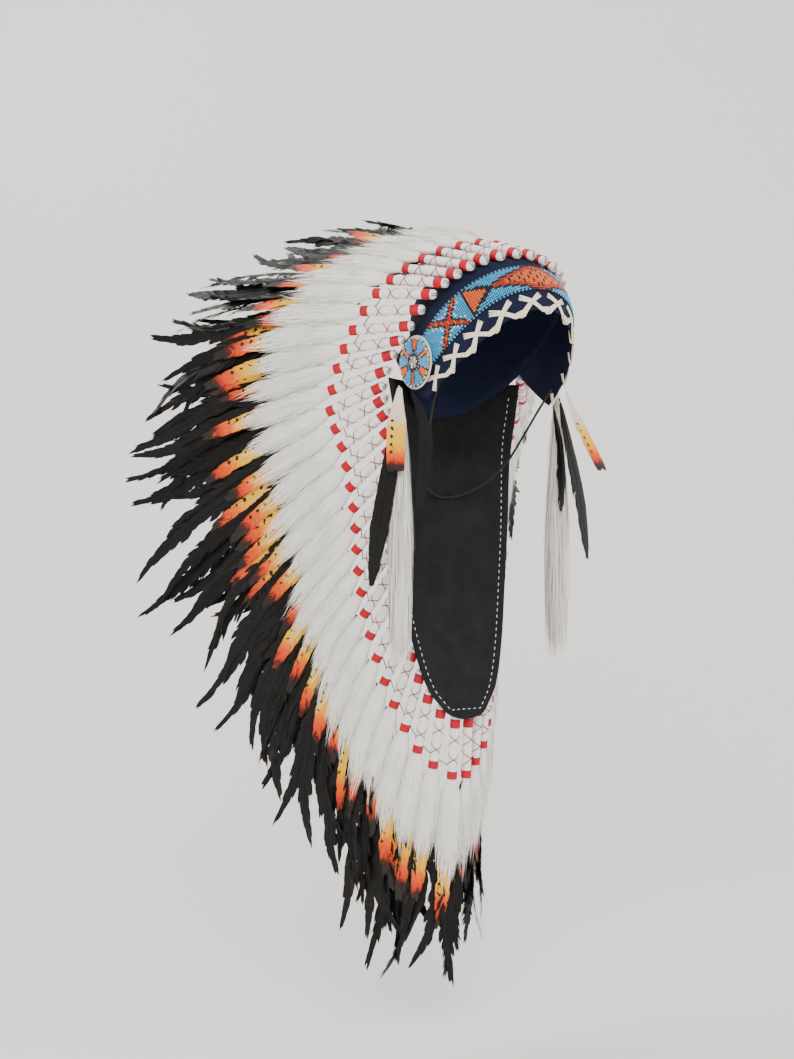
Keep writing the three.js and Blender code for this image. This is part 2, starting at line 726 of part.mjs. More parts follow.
const drops = {
  right: {
    fur: [-105, 22],
    facing: point(-0.8, -0.6, 0),
    drop_painted: [
      { at: [-116, 8, -158], half: 7 },
      { at: [-119, 8, -190], half: 12 },
      { at: [-121, 8, -222], half: 10 },
      { at: [-121, 8, -240], half: 3 },
    ],
    drop_long: [
      { at: [-114, 12, -170], half: 6 },
      { at: [-121, 20, -240], half: 11 },
      { at: [-125, 34, -305], half: 9 },
      { at: [-124, 50, -363], half: 1.5 },
    ],
    drop_short: [
      { at: [-98, 6, -158], half: 6 },
      { at: [-98, -16, -200], half: 9 },
      { at: [-98, -14, -245], half: 8 },
      { at: [-98, -4, -278], half: 1.5 },
    ],
  },
  left: {
    fur: [105, 10],
    facing: point(0.3, -0.95, 0),
    drop_painted: [
      { at: [104, -12, -156], half: 6 },
      { at: [110, -26, -186], half: 12 },
      { at: [116, -42, -216], half: 10 },
      { at: [120, -52, -236], half: 3 },
    ],
    drop_long: [
      { at: [94, -8, -156], half: 6 },
      { at: [103, -15, -210], half: 11 },
      { at: [111, -26, -275], half: 11 },
      { at: [112, -36, -334], half: 1.5 },
    ],
    drop_short: [
      { at: [88, -4, -164], half: 6 },
      { at: [92, -12, -210], half: 9 },
      { at: [95, -12, -250], half: 8 },
      { at: [97, -8, -282], half: 1.5 },
    ],
  },
};

function addDrops(side) {
  const { fur, facing, ...feathers } = drops[side];
  facing.normalize();
  addPart(`fur_drop_${side}`, furDrop(...fur), whiteDown);
  for (const [name, places] of Object.entries(feathers)) {
    const finish = name === 'drop_painted' ? dyedFeather : blackFeather;
    addPart(`${name}_${side}`, dropFeather(facing, places), finish);
  }
}

// ---- chin cord: a whole loop from inside one end of the band to the other, resting on the trailer ----

const cordRoute = [
  [78.6, -14, -146],
  [74, 3, -168],
  [66, 23, -199],
  [58, 43, -228],
  [44, 62, -250],
  [24, 77, -264],
  [0, 83.6, -269],
  [-24, 77, -264],
  [-44, 62, -250],
  [-58, 43, -228],
  [-66, 23, -199],
  [-74, 3, -168],
  [-78.6, -14, -146],
];

function chinCord() {
  const route = new THREE.CatmullRomCurve3(cordRoute.map((place) => point(...place)), false, 'centripetal');
  const section = new THREE.Shape();
  for (let index = 0; index < cord.sides; index += 1) {
    const angle = (2 * Math.PI * index) / cord.sides;
    const corner = [cord.radius * Math.cos(angle), cord.radius * Math.sin(angle)];
    if (index === 0) section.moveTo(...corner);
    else section.lineTo(...corner);
  }
  section.closePath();
  const sweep = { steps: cord.steps, extrudePath: route, bevelEnabled: false };
  const tube = new THREE.ExtrudeGeometry(section, sweep);
  tube.deleteAttribute('normal');
  tube.deleteAttribute('uv');
  return mergeVertices(tube);
}

// ---- the headdress ----

addPart('cap_crown', capCrown(), navyCloth);
addPart('brow_band', browBand(), navyCloth);
addPart(
  'bead_strip',
  bandStrip(bandColumns(band.stripEnd), beadStrip.rows, beadStrip.inner, beadStrip.outer),
  blueBeads,
);
addPart('edge_lacing', edgeLacing(), creamLace);
addPart('trailer', trailer(), blackFelt);
addPart('chin_cord', chinCord(), blackCord);
for (const side of ['right', 'left']) {
  addRosette(side);
  addDrops(side);
  stretches.forEach((stretch, index) => {
    addPart(`wraps_${side}_${index + 1}`, wraps(side, stretch), whiteThread);
    addPart(`fluffs_${side}_${index + 1}`, fluffs(side, stretch), whiteDown);
    addPart(`painted_${side}_${index + 1}`, paintedRow(side, stretch), dyedFeather);
    addPart(`blacks_${side}_${index + 1}`, blackRow(side, stretch), blackFeather);
  });
}

export default parts;
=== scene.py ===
import math

import bpy
import numpy as np
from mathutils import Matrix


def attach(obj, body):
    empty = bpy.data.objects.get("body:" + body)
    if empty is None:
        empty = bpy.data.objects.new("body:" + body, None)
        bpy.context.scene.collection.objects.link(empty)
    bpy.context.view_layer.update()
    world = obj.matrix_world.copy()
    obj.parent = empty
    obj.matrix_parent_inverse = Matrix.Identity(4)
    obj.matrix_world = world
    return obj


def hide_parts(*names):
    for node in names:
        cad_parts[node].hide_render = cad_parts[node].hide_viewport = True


# A feathered headdress with a trailer. Shapes are worked out in millimetres and put in as metres.
# +Z is up, the wearer looks along -Y, and the wearer's left is +X. The origin is the top of the head.

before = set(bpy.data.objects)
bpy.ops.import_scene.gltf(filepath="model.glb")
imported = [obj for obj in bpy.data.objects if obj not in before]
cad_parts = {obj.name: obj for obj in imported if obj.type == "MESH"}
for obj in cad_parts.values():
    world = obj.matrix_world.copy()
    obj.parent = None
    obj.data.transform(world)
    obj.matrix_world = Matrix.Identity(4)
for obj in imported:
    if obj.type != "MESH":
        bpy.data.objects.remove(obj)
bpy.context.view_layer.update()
metres = 0.001
sideSigns = {"right": -1, "left": 1}


def mirror(side):
    return np.array([sideSigns[side], 1, 1])

# ---- camera ----

cameraSetup = {
    "place": (-1.2, -1.6, -0.306),
    "azimuth": 33.92,  # degrees from +Y towards +X
    "lens": 60.8,
    "sensor": 36,
}
cameraData = bpy.data.cameras.new("camera")
cameraData.lens = cameraSetup["lens"]
cameraData.sensor_width = cameraSetup["sensor"]
camera = bpy.data.objects.new("camera", cameraData)
camera.location = cameraSetup["place"]
camera.rotation_euler = (math.pi / 2, 0, -math.radians(cameraSetup["azimuth"]))
bpy.context.scene.collection.objects.link(camera)
bpy.context.scene.camera = camera
print("camera set")

# ---- mesh tools ----


# Each vector divided by its own length.
def unitLength(vectors):
    return vectors / np.maximum(np.linalg.norm(vectors, axis=-1, keepdims=True), 1e-9)


# How far along a line each of its places is.
def runAlong(line):
    return np.concatenate([[0], np.cumsum(np.linalg.norm(np.diff(line, axis=0), axis=1))])


# A new object at the origin from one part: corners in millimetres, faces with material numbers,
# a map from each corner to its place on the pattern, and a tone or colour for each corner.
def addPiece(name, part, materials, replaced=()):
    mesh = bpy.data.meshes.new(name)
    corners = np.concatenate([faces.ravel() for faces, _ in part["faces"]])
    sizes = np.concatenate([np.full(len(faces), faces.shape[1]) for faces, _ in part["faces"]])
    slots = np.concatenate([np.full(len(faces), number) for faces, number in part["faces"]])
    mesh.vertices.add(len(part["points"]))
    mesh.vertices.foreach_set("co", (part["points"] * metres).astype(np.float32).ravel())
    mesh.loops.add(len(corners))
    mesh.loops.foreach_set("vertex_index", corners.astype(np.int32))
    mesh.polygons.add(len(sizes))
    mesh.polygons.foreach_set("loop_start", (np.cumsum(sizes) - sizes).astype(np.int32))
    for material in materials:
        mesh.materials.append(material)
    mesh.polygons.foreach_set("material_index", slots.astype(np.int32))
    mesh.polygons.foreach_set("use_smooth", np.ones(len(sizes), bool))
    if "map" in part:
        layer = mesh.uv_layers.new(name="pieceMap")
        layer.data.foreach_set("uv", part["map"][corners].astype(np.float32).ravel())
    if "tone" in part:
        layer = mesh.attributes.new("tone", "FLOAT", "POINT")
        layer.data.foreach_set("value", part["tone"].astype(np.float32))
    if "colour" in part:
        layer = mesh.attributes.new("colour", "FLOAT_COLOR", "POINT")
        layer.data.foreach_set("color", part["colour"].astype(np.float32).ravel())
    mesh.update()
    mesh.validate()
    piece = bpy.data.objects.new(name, mesh)
    bpy.context.scene.collection.objects.link(piece)
    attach(piece, "root")
    if replaced:
        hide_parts(*replaced)
    return piece


# Several parts as one, with each part's corner numbers moved past those before it.
def joinParts(parts):
    shifts = np.cumsum([0] + [len(part["points"]) for part in parts])
    whole = {"faces": []}
    for part, shift in zip(parts, shifts):
        whole["faces"] += [(faces + shift, number) for faces, number in part["faces"]]
    for key in parts[0]:
        if key != "faces":
            whole[key] = np.concatenate([part[key] for part in parts])
    return whole


# The same faces for many copies of a shape with so many corners each.
def repeatFaces(faces, corners, count):
    return (faces[None] + (np.arange(count) * corners)[:, None, None]).reshape(-1, faces.shape[1])


# Quads of a grid whose corner number is column * rows + row. A closed grid joins its last column
# to its first.
def gridFaces(columns, rows, closed=False):
    column, row = np.meshgrid(np.arange(columns - (not closed)), np.arange(rows - 1), indexing="ij")
    here = (column * rows + row).ravel()
    beside = ((column + 1) % columns * rows + row).ravel()
    return np.stack([here, beside, beside + 1, here + 1], 1)


# Closed tubes along rows of places: a ring of corners stands at each place, at
# place + side * halfWidth * cos(angle) + up * halfThickness * sin(angle), and each end closes on one corner.
def tubes(paths, ups, halfWidths, halfThicknesses, ring=8, slot=0, tone=None):
    count, steps = paths.shape[:2]
    forward = unitLength(np.gradient(paths, axis=1))
    side = unitLength(np.cross(forward, np.broadcast_to(ups, paths.shape)))
    up = np.cross(side, forward)
    angles = np.arange(ring) * 2 * np.pi / ring
    wide = np.broadcast_to(halfWidths, (count, steps))[..., None, None] * np.cos(angles)[:, None]
    thick = np.broadcast_to(halfThicknesses, (count, steps))[..., None, None] * np.sin(angles)[:, None]
    rings = paths[:, :, None] + side[:, :, None] * wide + up[:, :, None] * thick
    points = np.concatenate([rings.reshape(count, -1, 3), paths[:, :1], paths[:, -1:]], 1)
    step, turn = np.meshgrid(np.arange(steps - 1), np.arange(ring), indexing="ij")
    here = (step * ring + turn).ravel()
    beside = (step * ring + (turn + 1) % ring).ravel()
    walls = np.stack([here, here + ring, beside + ring, beside], 1)
    first = np.arange(ring)
    following = (first + 1) % ring
    last = (steps - 1) * ring
    startCap = np.stack([np.full(ring, steps * ring), first, following], 1)
    endCap = np.stack([np.full(ring, steps * ring + 1), last + following, last + first], 1)
    corners = steps * ring + 2
    share = np.repeat(np.linspace(0, 1, steps), ring)
    across = np.tile(np.abs(first * 2 / ring - 1), steps)
    patternMap = np.stack([np.append(across, [0.5, 0.5]), np.append(share, [0, 1])], 1)
    tones = np.zeros(count) if tone is None else tone
    return {
        "points": points.reshape(-1, 3),
        "faces": [
            (repeatFaces(walls, corners, count), slot),
            (repeatFaces(np.concatenate([startCap, endCap]), corners, count), slot),
        ],
        "map": np.tile(patternMap, (count, 1)),
        "tone": np.repeat(tones, corners),
    }


# Flat tapering strips along rows of places, as wide as given on both sides and pointed at the last place.
def ribbons(paths, sides, halfWidths, patternMap, tone):
    count, steps = paths.shape[:2]
    offset = sides * np.broadcast_to(halfWidths, (count, steps))[..., None]
    pairs = np.stack([paths - offset, paths + offset], 2)[:, :-1].reshape(count, -1, 3)
    points = np.concatenate([pairs, paths[:, -1:]], 1)
    low = np.arange(steps - 2) * 2
    quads = np.stack([low, low + 1, low + 3, low + 2], 1)
    tip = np.array([[2 * steps - 4, 2 * steps - 3, 2 * steps - 2]])
    corners = 2 * steps - 1
    doubled = np.repeat(patternMap[:, :-1], 2, axis=1)
    return {
        "points": points.reshape(-1, 3),
        "faces": [(repeatFaces(group, corners, count), 0) for group in (quads, tip)],
        "map": np.concatenate([doubled, patternMap[:, -1:]], 1).reshape(-1, 2),
        "tone": np.repeat(tone, corners),
    }


# A closed slab between two grids of matching corners, walled round its edge.
def slab(front, back):
    columns, rows = front.shape[:2]
    faces = gridFaces(columns, rows)
    shift = columns * rows
    number = np.arange(shift).reshape(columns, rows)
    edge = np.concatenate([number[:-1, 0], number[-1, :-1], number[:0:-1, -1], number[0, :0:-1]])
    ahead = np.roll(edge, -1)
    walls = np.stack([edge, edge + shift, ahead + shift, ahead], 1)
    share = np.stack(np.meshgrid(np.linspace(0, 1, columns), np.linspace(0, 1, rows), indexing="ij"), -1)
    return {
        "points": np.concatenate([front.reshape(-1, 3), back.reshape(-1, 3)]),
        "faces": [(faces, 0), (faces[:, ::-1] + shift, 0), (walls, 0)],
        "map": np.tile(share.reshape(-1, 2), (2, 1)),
        "tone": np.zeros(2 * shift),
    }


# Copies of a small shape: each point is the origin plus the shape's x, y and z along that copy's own axes.
def copies(shape, faces, origins, axes, colours):
    points = origins[:, None] + np.einsum("vk,ckj->cvj", shape, axes)
    return {
        "points": points.reshape(-1, 3),
        "faces": [(repeatFaces(group, len(shape), len(origins)), 0) for group in faces],
        "colour": np.repeat(colours, len(shape), axis=0),
    }


# ---- tables and the surfaces that the CAD part is built on ----

head = {"halfWidth": 82, "halfDepth": 98, "height": 81}
headCentre = np.array([0.0, 0.0, -head["height"]])
headScale = np.array([head["halfWidth"], head["halfDepth"], head["height"]], float)
band = {
    "tilt": 42, "featherLevel": -54, "lowerLevel": -118, "bow": 7, "inner": 1.8, "outer": 3.8,
    "flare": 15, "flareStart": 96, "flareSpan": 42, "endLow": 124, "endRise": 11, "top": 1.12,
}
tilt = math.radians(band["tilt"])
bandAxis = np.array([0, math.sin(tilt), math.cos(tilt)])
upForward = np.array([0, -math.cos(tilt), math.sin(tilt)])


# A place as shares of the head form's half sizes from its middle; the form is where their squares add up
# to 1. It is half an egg on an upright wall, so below the middle the height counts for nothing.
def headShare(places):
    out = (places - headCentre) / headScale
    out[..., 2] = np.maximum(out[..., 2], 0)
    return out


# Where rays meet the head form, lifted off it along its own slope.
def headMeet(origins, directions, lift):
    near = np.zeros(np.broadcast_shapes(origins.shape, directions.shape)[:-1])
    far = near + 300
    for halving in range(40):
        middle = (near + far) / 2
        inside = (headShare(origins + directions * middle[..., None]) ** 2).sum(-1) < 1
        near = np.where(inside, middle, near)
        far = np.where(inside, far, middle)
    places = origins + directions * near[..., None]
    return places + unitLength(headShare(places) / headScale) * np.asarray(lift, float)[..., None]


# The outward direction at an angle round the band, from the forehead.
def spoke(around):
    turn = np.radians(around)[..., None]
    return upForward * np.cos(turn) + np.array([1.0, 0, 0]) * np.sin(turn)


# The place on the band's axis that is level with a share of the way up the band.
def levelOn(around, across):
    lower = band["lowerLevel"] - band["bow"] * np.sin(np.radians(around)) ** 2
    level = lower + across * (band["featherLevel"] - lower)
    return headCentre + bandAxis * (level - bandAxis @ headCentre)[..., None]


# A place on the band by its angle, its share of the way up the band and its lift off the head.
def bandPoint(around, across, lift):
    values = [np.asarray(value, float) for value in (around, across, lift)]
    around, across, lift = np.broadcast_arrays(*values)
    places = headMeet(levelOn(around, across), spoke(around), lift)
    past = np.maximum(0, np.abs(around) - band["flareStart"]) / band["flareSpan"]
    places[..., 0] += np.sign(around) * band["flare"] * past ** 1.5 * np.maximum(0, across) ** 1.5
    return places


# The line that the wraps start on: by angle round the band, then by place on the trailer's back.
unitsOnBand = {"unit": [0.5, 3, 5, 7, 9, 11], "around": [0, 28, 47, 68, 97, 125]}
unitsOnFelt = {
    "unit": [13, 15, 18, 21, 24, 27, 29, 30.5, 31.5],
    "out": [86, 77, 70, 70, 65, 52, 38, 17, 0],
    "up": [-143, -171, -232, -299, -366, -438, -485, -508, -515],
}
# The trailer from its rounded bottom up: half width, and how far back its edges and centre lie.
feltShape = {
    "up": [-521, -516, -508, -485, -438, -366, -299, -232, -198, -171, -136],
    "half": [7, 22, 31, 47.5, 61.5, 74, 79, 79, 82, 86, 92],
    "edgeBack": [41.2, 42.6, 45.2, 51, 58.8, 68.5, 69.5, 66, 64, 63, 64],
    "centreBack": [41.4, 43.4, 47.5, 56, 66, 78, 84, 91, 103.6, 104, 104],
}
# How the feathers point and hang by unit: sweep turns back from sideways, rise turns up from level,
# droop and retract are what a feather 300 mm long has sunk and drawn back at its tip.
flow = {
    "unit": [0.5, 3, 5, 7, 9, 11, 13, 15, 18, 21, 24, 27, 29, 30.5, 31.5],
    "sweep": [90, 80, 69, 59, 53, 51, 51, 52, 53, 54, 55, 58, 65, 75, 90],
    "rise": [17, 14, 9.5, 4, -2, -12, -23, -35, -44, -50, -58, -68, -77, -82, -87],
    "droop": [4, 6, 16, 20, 36, 20, 8, 8, 14, 32, 38, 24, 8, 4, 4],
    "retract": [0, 0, 2, 4, 14, 20, 12, 6, 10, 34, 66, 58, 28, 6, 0],
    "length": [300, 322, 342, 352, 346, 345, 350, 354, 342, 332, 325, 320, 312, 304, 300],
}
bend = {"start": 75, "full": 300, "power": 2.2}
levelColumns = ("y", "z", "rise", "droop", "retract", "length")  # they level out at the centre line
wrap = {"liftOffHead": 11.7, "liftOffFelt": 7.2, "stringAt": 61}
stretches = [(1, 6), (7, 12), (13, 18), (19, 24), (25, 31)]


# The cubic between two rows at a share of the span between them, by their values and slopes.
def cubicBetween(low, high, lowSlope, highSlope, share, span):
    blend = 3 * share ** 2 - 2 * share ** 3
    turns = lowSlope * (share ** 3 - 2 * share ** 2 + share) + highSlope * (share ** 3 - share ** 2)
    return low * (1 - blend) + high * blend + span * turns


# A column of a table at any values of its key, on a smooth cubic through the rows.
def curve(table, key, column, at):
    keys = np.array(table[key], float)
    values = np.array(table[column], float)
    slopes = np.empty_like(values)
    slopes[1:-1] = (values[2:] - values[:-2]) / (keys[2:] - keys[:-2])
    slopes[0] = (values[1] - values[0]) / (keys[1] - keys[0])
    slopes[-1] = (values[-1] - values[-2]) / (keys[-1] - keys[-2])
    if column in levelColumns:
        slopes[0] = slopes[-1] = 0
    low = np.clip(np.searchsorted(keys, at, side="left") - 1, 0, len(keys) - 2)
    span = keys[low + 1] - keys[low]
    share = np.clip((at - keys[low]) / span, 0, 1)
    return cubicBetween(values[low], values[low + 1], slopes[low], slopes[low + 1], share, span)


# How far back the trailer lies: its centre, less a square curve towards its edges.
def feltBack(out, up):
    edge = curve(feltShape, "up", "edgeBack", up)
    centre = curve(feltShape, "up", "centreBack", up)
    return centre - (centre - edge) * (out / curve(feltShape, "up", "half", up)) ** 2


# A place on the trailer's sheet, by how far out and how high it is, lifted off it along its own slope.
def feltPoint(out, up, lift):
    small = 0.5
    out, up = np.broadcast_arrays(np.asarray(out, float), np.asarray(up, float))
    acrossSlope = (feltBack(out + small, up) - feltBack(out - small, up)) / (2 * small)
    upSlope = (feltBack(out, up + small) - feltBack(out, up - small)) / (2 * small)
    normal = unitLength(np.stack([-acrossSlope, np.ones_like(out), -upSlope], -1))
    return np.stack([out, feltBack(out, up), up], -1) + normal * lift


onBand = bandPoint(unitsOnBand["around"], 1, wrap["liftOffHead"])
onFelt = feltPoint(unitsOnFelt["out"], unitsOnFelt["up"], wrap["liftOffFelt"])
rootPlaces = np.concatenate([onBand, onFelt])
rootLine = {
    "unit": unitsOnBand["unit"] + unitsOnFelt["unit"],
    "x": rootPlaces[:, 0], "y": rootPlaces[:, 1], "z": rootPlaces[:, 2],
}


# A place on the sheet that the feathers lie in: root + direction * reach, less what the feather has
# drawn back and sunk, which grow as (reach past the start of the bend) to a power.
def sheetPoint(unit, reach):
    unit, reach = np.broadcast_arrays(np.asarray(unit, float), np.asarray(reach, float))
    sweep = np.radians(curve(flow, "unit", "sweep", unit))[..., None]
    rise = np.radians(curve(flow, "unit", "rise", unit))[..., None]
    level = np.concatenate([np.cos(sweep), np.sin(sweep), np.zeros_like(sweep)], -1)
    upward = np.array([0.0, 0, 1])
    direction = level * np.cos(rise) + upward * np.sin(rise)
    hang = (np.maximum(0, reach - bend["start"]) / (bend["full"] - bend["start"])) ** bend["power"]
    hang = hang[..., None]
    root = np.stack([curve(rootLine, "unit", axis, unit) for axis in "xyz"], -1)
    drawn = level * curve(flow, "unit", "retract", unit)[..., None]
    sunk = upward * curve(flow, "unit", "droop", unit)[..., None]
    return root + direction * reach[..., None] - (drawn + sunk) * hang


# The sheet's directions at a place: square across the feathers, and out of their front face.
def sheetFrame(unit, reach):
    small = 0.05
    across = sheetPoint(unit + small, reach) - sheetPoint(unit - small, reach)
    outward = unitLength(sheetPoint(unit, reach + 1.0) - sheetPoint(unit, reach - 1.0))
    front = unitLength(np.cross(across, outward))
    square = unitLength(np.cross(outward, front))
    return square, front, (across * square).sum(-1) / (2 * small)


# A place near a feather on one side: so far across it and so far in front of the sheet.
def featherPoint(side, unit, reach, across=0, lift=0):
    square, front, _ = sheetFrame(unit, reach)
    aside, raised = [np.asarray(value)[..., None] for value in (across, lift)]
    return (sheetPoint(unit, reach) + square * aside + front * raised) * mirror(side)


# Rows of places along feathers, a row for each unit, and the way that their fronts face there.
def featherLines(side, units, reach, across=0, lift=0):
    _, front, _ = sheetFrame(units[:, None], reach)
    return featherPoint(side, units[:, None], reach, across, lift), front * mirror(side)


# ---- materials ----


# A material with its constant finish on the shader's own sockets.
def newMaterial(name, colour, roughness, **finish):
    material = bpy.data.materials.new(name)
    material.use_nodes = True
    material.diffuse_color = (*colour, 1)
    shader = material.node_tree.nodes["Principled BSDF"]
    shader.inputs["Base Color"].default_value = (*colour, 1)
    shader.inputs["Roughness"].default_value = roughness
    for socket, value in finish.items():
        shader.inputs[socket].default_value = value
    return material


# A node of a kind, with its settings and its inputs; an input may be a value or another node's output.
def addNode(material, kind, inputs=(), **settings):
    tree = material.node_tree
    node = tree.nodes.new(kind)
    for key, value in settings.items():
        setattr(node, key, value)
    for key, value in dict(inputs).items():
        if isinstance(value, bpy.types.NodeSocket):
            tree.links.new(value, node.inputs[key])
        else:
            node.inputs[key].default_value = value
    return node


def linkShader(material, output, socket="Base Color"):
    material.node_tree.links.new(output, material.node_tree.nodes["Principled BSDF"].inputs[socket])


# A part of the piece's own map: X across it or Y along it.
def mapPart(material, axis):
    place = addNode(material, "ShaderNodeUVMap", uv_map="pieceMap").outputs["UV"]
    return addNode(material, "ShaderNodeSeparateXYZ", {"Vector": place}).outputs[axis]


def readAttribute(material, name, output):
    return addNode(material, "ShaderNodeAttribute", attribute_name=name).outputs[output]


# Noise on the object's own coordinates.
def noise(material, scale, detail=3, roughness=0.6):
    place = addNode(material, "ShaderNodeTexCoord").outputs["Object"]
    inputs = {"Vector": place, "Scale": scale, "Detail": detail, "Roughness": roughness}
    return addNode(material, "ShaderNodeTexNoise", inputs).outputs["Fac"]


# Colours along a factor, as (position, colour) stops.
def ramp(material, factor, stops):
    node = addNode(material, "ShaderNodeValToRGB", {"Fac": factor})
    elements = node.color_ramp.elements
    while len(elements) < len(stops):
        elements.new(0.5)
    for element, (position, colour) in zip(elements, stops):
        element.position = position
        element.color = (*colour, 1)
    return node.outputs["Color"]


def arithmetic(material, operation, *values):
    return addNode(material, "ShaderNodeMath", dict(enumerate(values)), operation=operation).outputs[0]


# Two factors added, each times its own share.
def weigh(material, first, firstShare, second, secondShare):
    scaled = arithmetic(material, "MULTIPLY", second, secondShare)
    return arithmetic(material, "MULTIPLY_ADD", first, firstShare, scaled)


# A factor less a place on it, times a size.
def awayFrom(material, factor, place, size):
    return arithmetic(material, "MULTIPLY", arithmetic(material, "SUBTRACT", factor, place), size)


def brighten(material, colour, value):
    return addNode(material, "ShaderNodeHueSaturation", {"Color": colour, "Value": value}).outputs["Color"]


def addBump(material, height, strength, distance):
    bump = addNode(material, "ShaderNodeBump", {"Height": height, "Strength": strength, "Distance": distance})
    linkShader(material, bump.outputs["Normal"], "Normal")


# Cloth: two crossing sets of ridges along the piece's own map, which is in threads, darker between the threads
# as painted shade.
def clothMaterial(name, dark, light, roughness, **finish):
    material = newMaterial(name, light, roughness, **finish)
    turns = [arithmetic(material, "MULTIPLY", mapPart(material, axis), math.pi) for axis in "XY"]
    ridges = [arithmetic(material, "ABSOLUTE", arithmetic(material, "SINE", turn)) for turn in turns]
    height = arithmetic(material, "MULTIPLY", *ridges)
    mixed = weigh(material, height, 0.45, noise(material, 60), 0.5)
    # Painted shade: the colour is dark where the weave lies low between threads; the noise adds a random tone.
    linkShader(material, ramp(material, mixed, [(0.1, dark), (0.75, light)]))
    addBump(material, height, 0.7, 0.0003)
    return material


# Felt: short fibres that lie every way, in colour and in relief.
def feltMaterial(name, dark, light):
    material = newMaterial(name, dark, 0.95, **{"Specular IOR Level": 0.2})
    fibres = noise(material, 1400, 5, 0.75)
    mixed = weigh(material, fibres, 0.7, noise(material, 45), 0.3)
    linkShader(material, ramp(material, mixed, [(0.35, dark), (0.68, light)]))
    addBump(material, fibres, 0.5, 0.0006)
    return material


# Wound thread: fine rings along the piece's own map, darker in the grooves between turns as painted shade, and
# a little soiling.
def woundMaterial(name, dark, light, turns, strength):
    material = newMaterial(name, light, 0.68, **{"Specular IOR Level": 0.35})
    angle = arithmetic(material, "MULTIPLY", mapPart(material, "Y"), turns * 2 * math.pi)
    rings = arithmetic(material, "MULTIPLY_ADD", arithmetic(material, "SINE", angle), 0.5, 0.5)
    mixed = weigh(material, rings, 0.35, noise(material, 220), 0.65)
    # Painted shade: the colour darkens in the grooves between the rings; the noise adds a random tone.
    linkShader(material, ramp(material, mixed, [(0.15, dark), (0.6, light)]))
    addBump(material, rings, strength, 0.0003)
    return material


# Beads: each has its own colour, kept with its corners, and a small change of shade from bead to bead.
def beadMaterial(name):
    material = newMaterial(name, (0.15, 0.5, 0.75), 0.22, **{"Coat Weight": 0.35, "Coat Roughness": 0.1})
    value = arithmetic(material, "MULTIPLY_ADD", noise(material, 350), 0.5, 0.75)
    linkShader(material, brighten(material, readAttribute(material, "colour", "Color"), value))
    return material


# Strands in a range of tones, by the tone kept with each strand, and darker towards their roots as painted
# shade.
def strandMaterial(name, stops, rootPaintedShade, roughness, **finish):
    material = newMaterial(name, stops[-1][1], roughness, **finish)
    colour = ramp(material, readAttribute(material, "tone", "Fac"), stops)
    # Painted shade: the colour darkens towards each strand's root, where the strands lie under the others.
    value = arithmetic(material, "MULTIPLY_ADD", mapPart(material, "Y"), 1 - rootPaintedShade, rootPaintedShade)
    linkShader(material, brighten(material, colour, value))
    return material

dyed = {
    "stops": [
        (0.0, (0.78, 0.66, 0.60)), (0.42, (0.76, 0.56, 0.44)), (0.52, (0.80, 0.50, 0.05)),
        (0.70, (0.80, 0.40, 0.004)), (0.79, (0.76, 0.11, 0.004)), (0.89, (0.56, 0.035, 0.004)),
        (0.94, (0.05, 0.008, 0.004)), (1.0, (0.012, 0.01, 0.009)),
    ],
    "dotPlaces": (0.46, 0.54, 0.62, 0.70, 0.78),  # shares of the feather's length
    "dotAcross": 0.30,
    "dotRadius": 1.7,
    "dotColour": (0.01, 0.008, 0.007, 1),
    "toneShift": 0.16,
    "grainShift": 0.06,
}


# Dyed feathers: colours along the feather, shifted from feather to feather, with a row of black dots.
# A dot is where (along in millimetres)^2 + (across in millimetres)^2 is under its radius squared.
def dyedMaterial(name, length, half):
    material = newMaterial(name, (0.8, 0.3, 0.03), 0.5, **{"Specular IOR Level": 0.3})
    along = mapPart(material, "Y")
    shifted = arithmetic(material, "MULTIPLY_ADD", readAttribute(material, "tone", "Fac"), dyed["toneShift"],
                         arithmetic(material, "SUBTRACT", along, dyed["toneShift"] / 2))
    shifted = arithmetic(material, "MULTIPLY_ADD", noise(material, 500), dyed["grainShift"],
                         arithmetic(material, "SUBTRACT", shifted, dyed["grainShift"] / 2))
    side = awayFrom(material, mapPart(material, "X"), dyed["dotAcross"], 2 * half)
    sideSquare = arithmetic(material, "MULTIPLY", side, side)
    nearest = None
    for place in dyed["dotPlaces"]:
        down = awayFrom(material, along, place, length)
        gap = arithmetic(material, "MULTIPLY_ADD", down, down, sideSquare)
        nearest = gap if nearest is None else arithmetic(material, "MINIMUM", nearest, gap)
    mixed = addNode(material, "ShaderNodeMix", data_type="RGBA")
    links = material.node_tree.links
    links.new(arithmetic(material, "LESS_THAN", nearest, dyed["dotRadius"] ** 2), mixed.inputs["Factor"])
    links.new(ramp(material, shifted, dyed["stops"]), mixed.inputs[6])
    mixed.inputs[7].default_value = dyed["dotColour"]
    linkShader(material, mixed.outputs[2])
    return material


navyCloth = clothMaterial("navyCloth", (0.002, 0.003, 0.013), (0.008, 0.013, 0.052), 0.85,
                          **{"Specular IOR Level": 0.25})
blackFelt = feltMaterial("blackFelt", (0.005, 0.0055, 0.006), (0.020, 0.021, 0.023))
glassBeads = beadMaterial("glassBeads")
paleLeather = feltMaterial("paleLeather", (0.55, 0.52, 0.44), (0.82, 0.79, 0.70))
whiteWrap = woundMaterial("whiteWrap", (0.70, 0.67, 0.62), (0.90, 0.88, 0.85), 120, 0.12)
redWrap = woundMaterial("redWrap", (0.26, 0.001, 0.008), (0.52, 0.002, 0.016), 14, 0.5)
crimsonThread = woundMaterial("crimsonThread", (0.20, 0.001, 0.006), (0.36, 0.002, 0.012), 60, 0.4)
darkThread = woundMaterial("darkThread", (0.004, 0.005, 0.012), (0.016, 0.018, 0.035), 30, 0.4)
creamLace = woundMaterial("creamLace", (0.62, 0.54, 0.36), (0.86, 0.80, 0.62), 9, 0.4)
whiteStitch = woundMaterial("whiteStitch", (0.6, 0.6, 0.58), (0.85, 0.85, 0.83), 6, 0.4)
blackCordFinish = woundMaterial("blackCord", (0.003, 0.003, 0.003), (0.018, 0.018, 0.019), 150, 1.0)
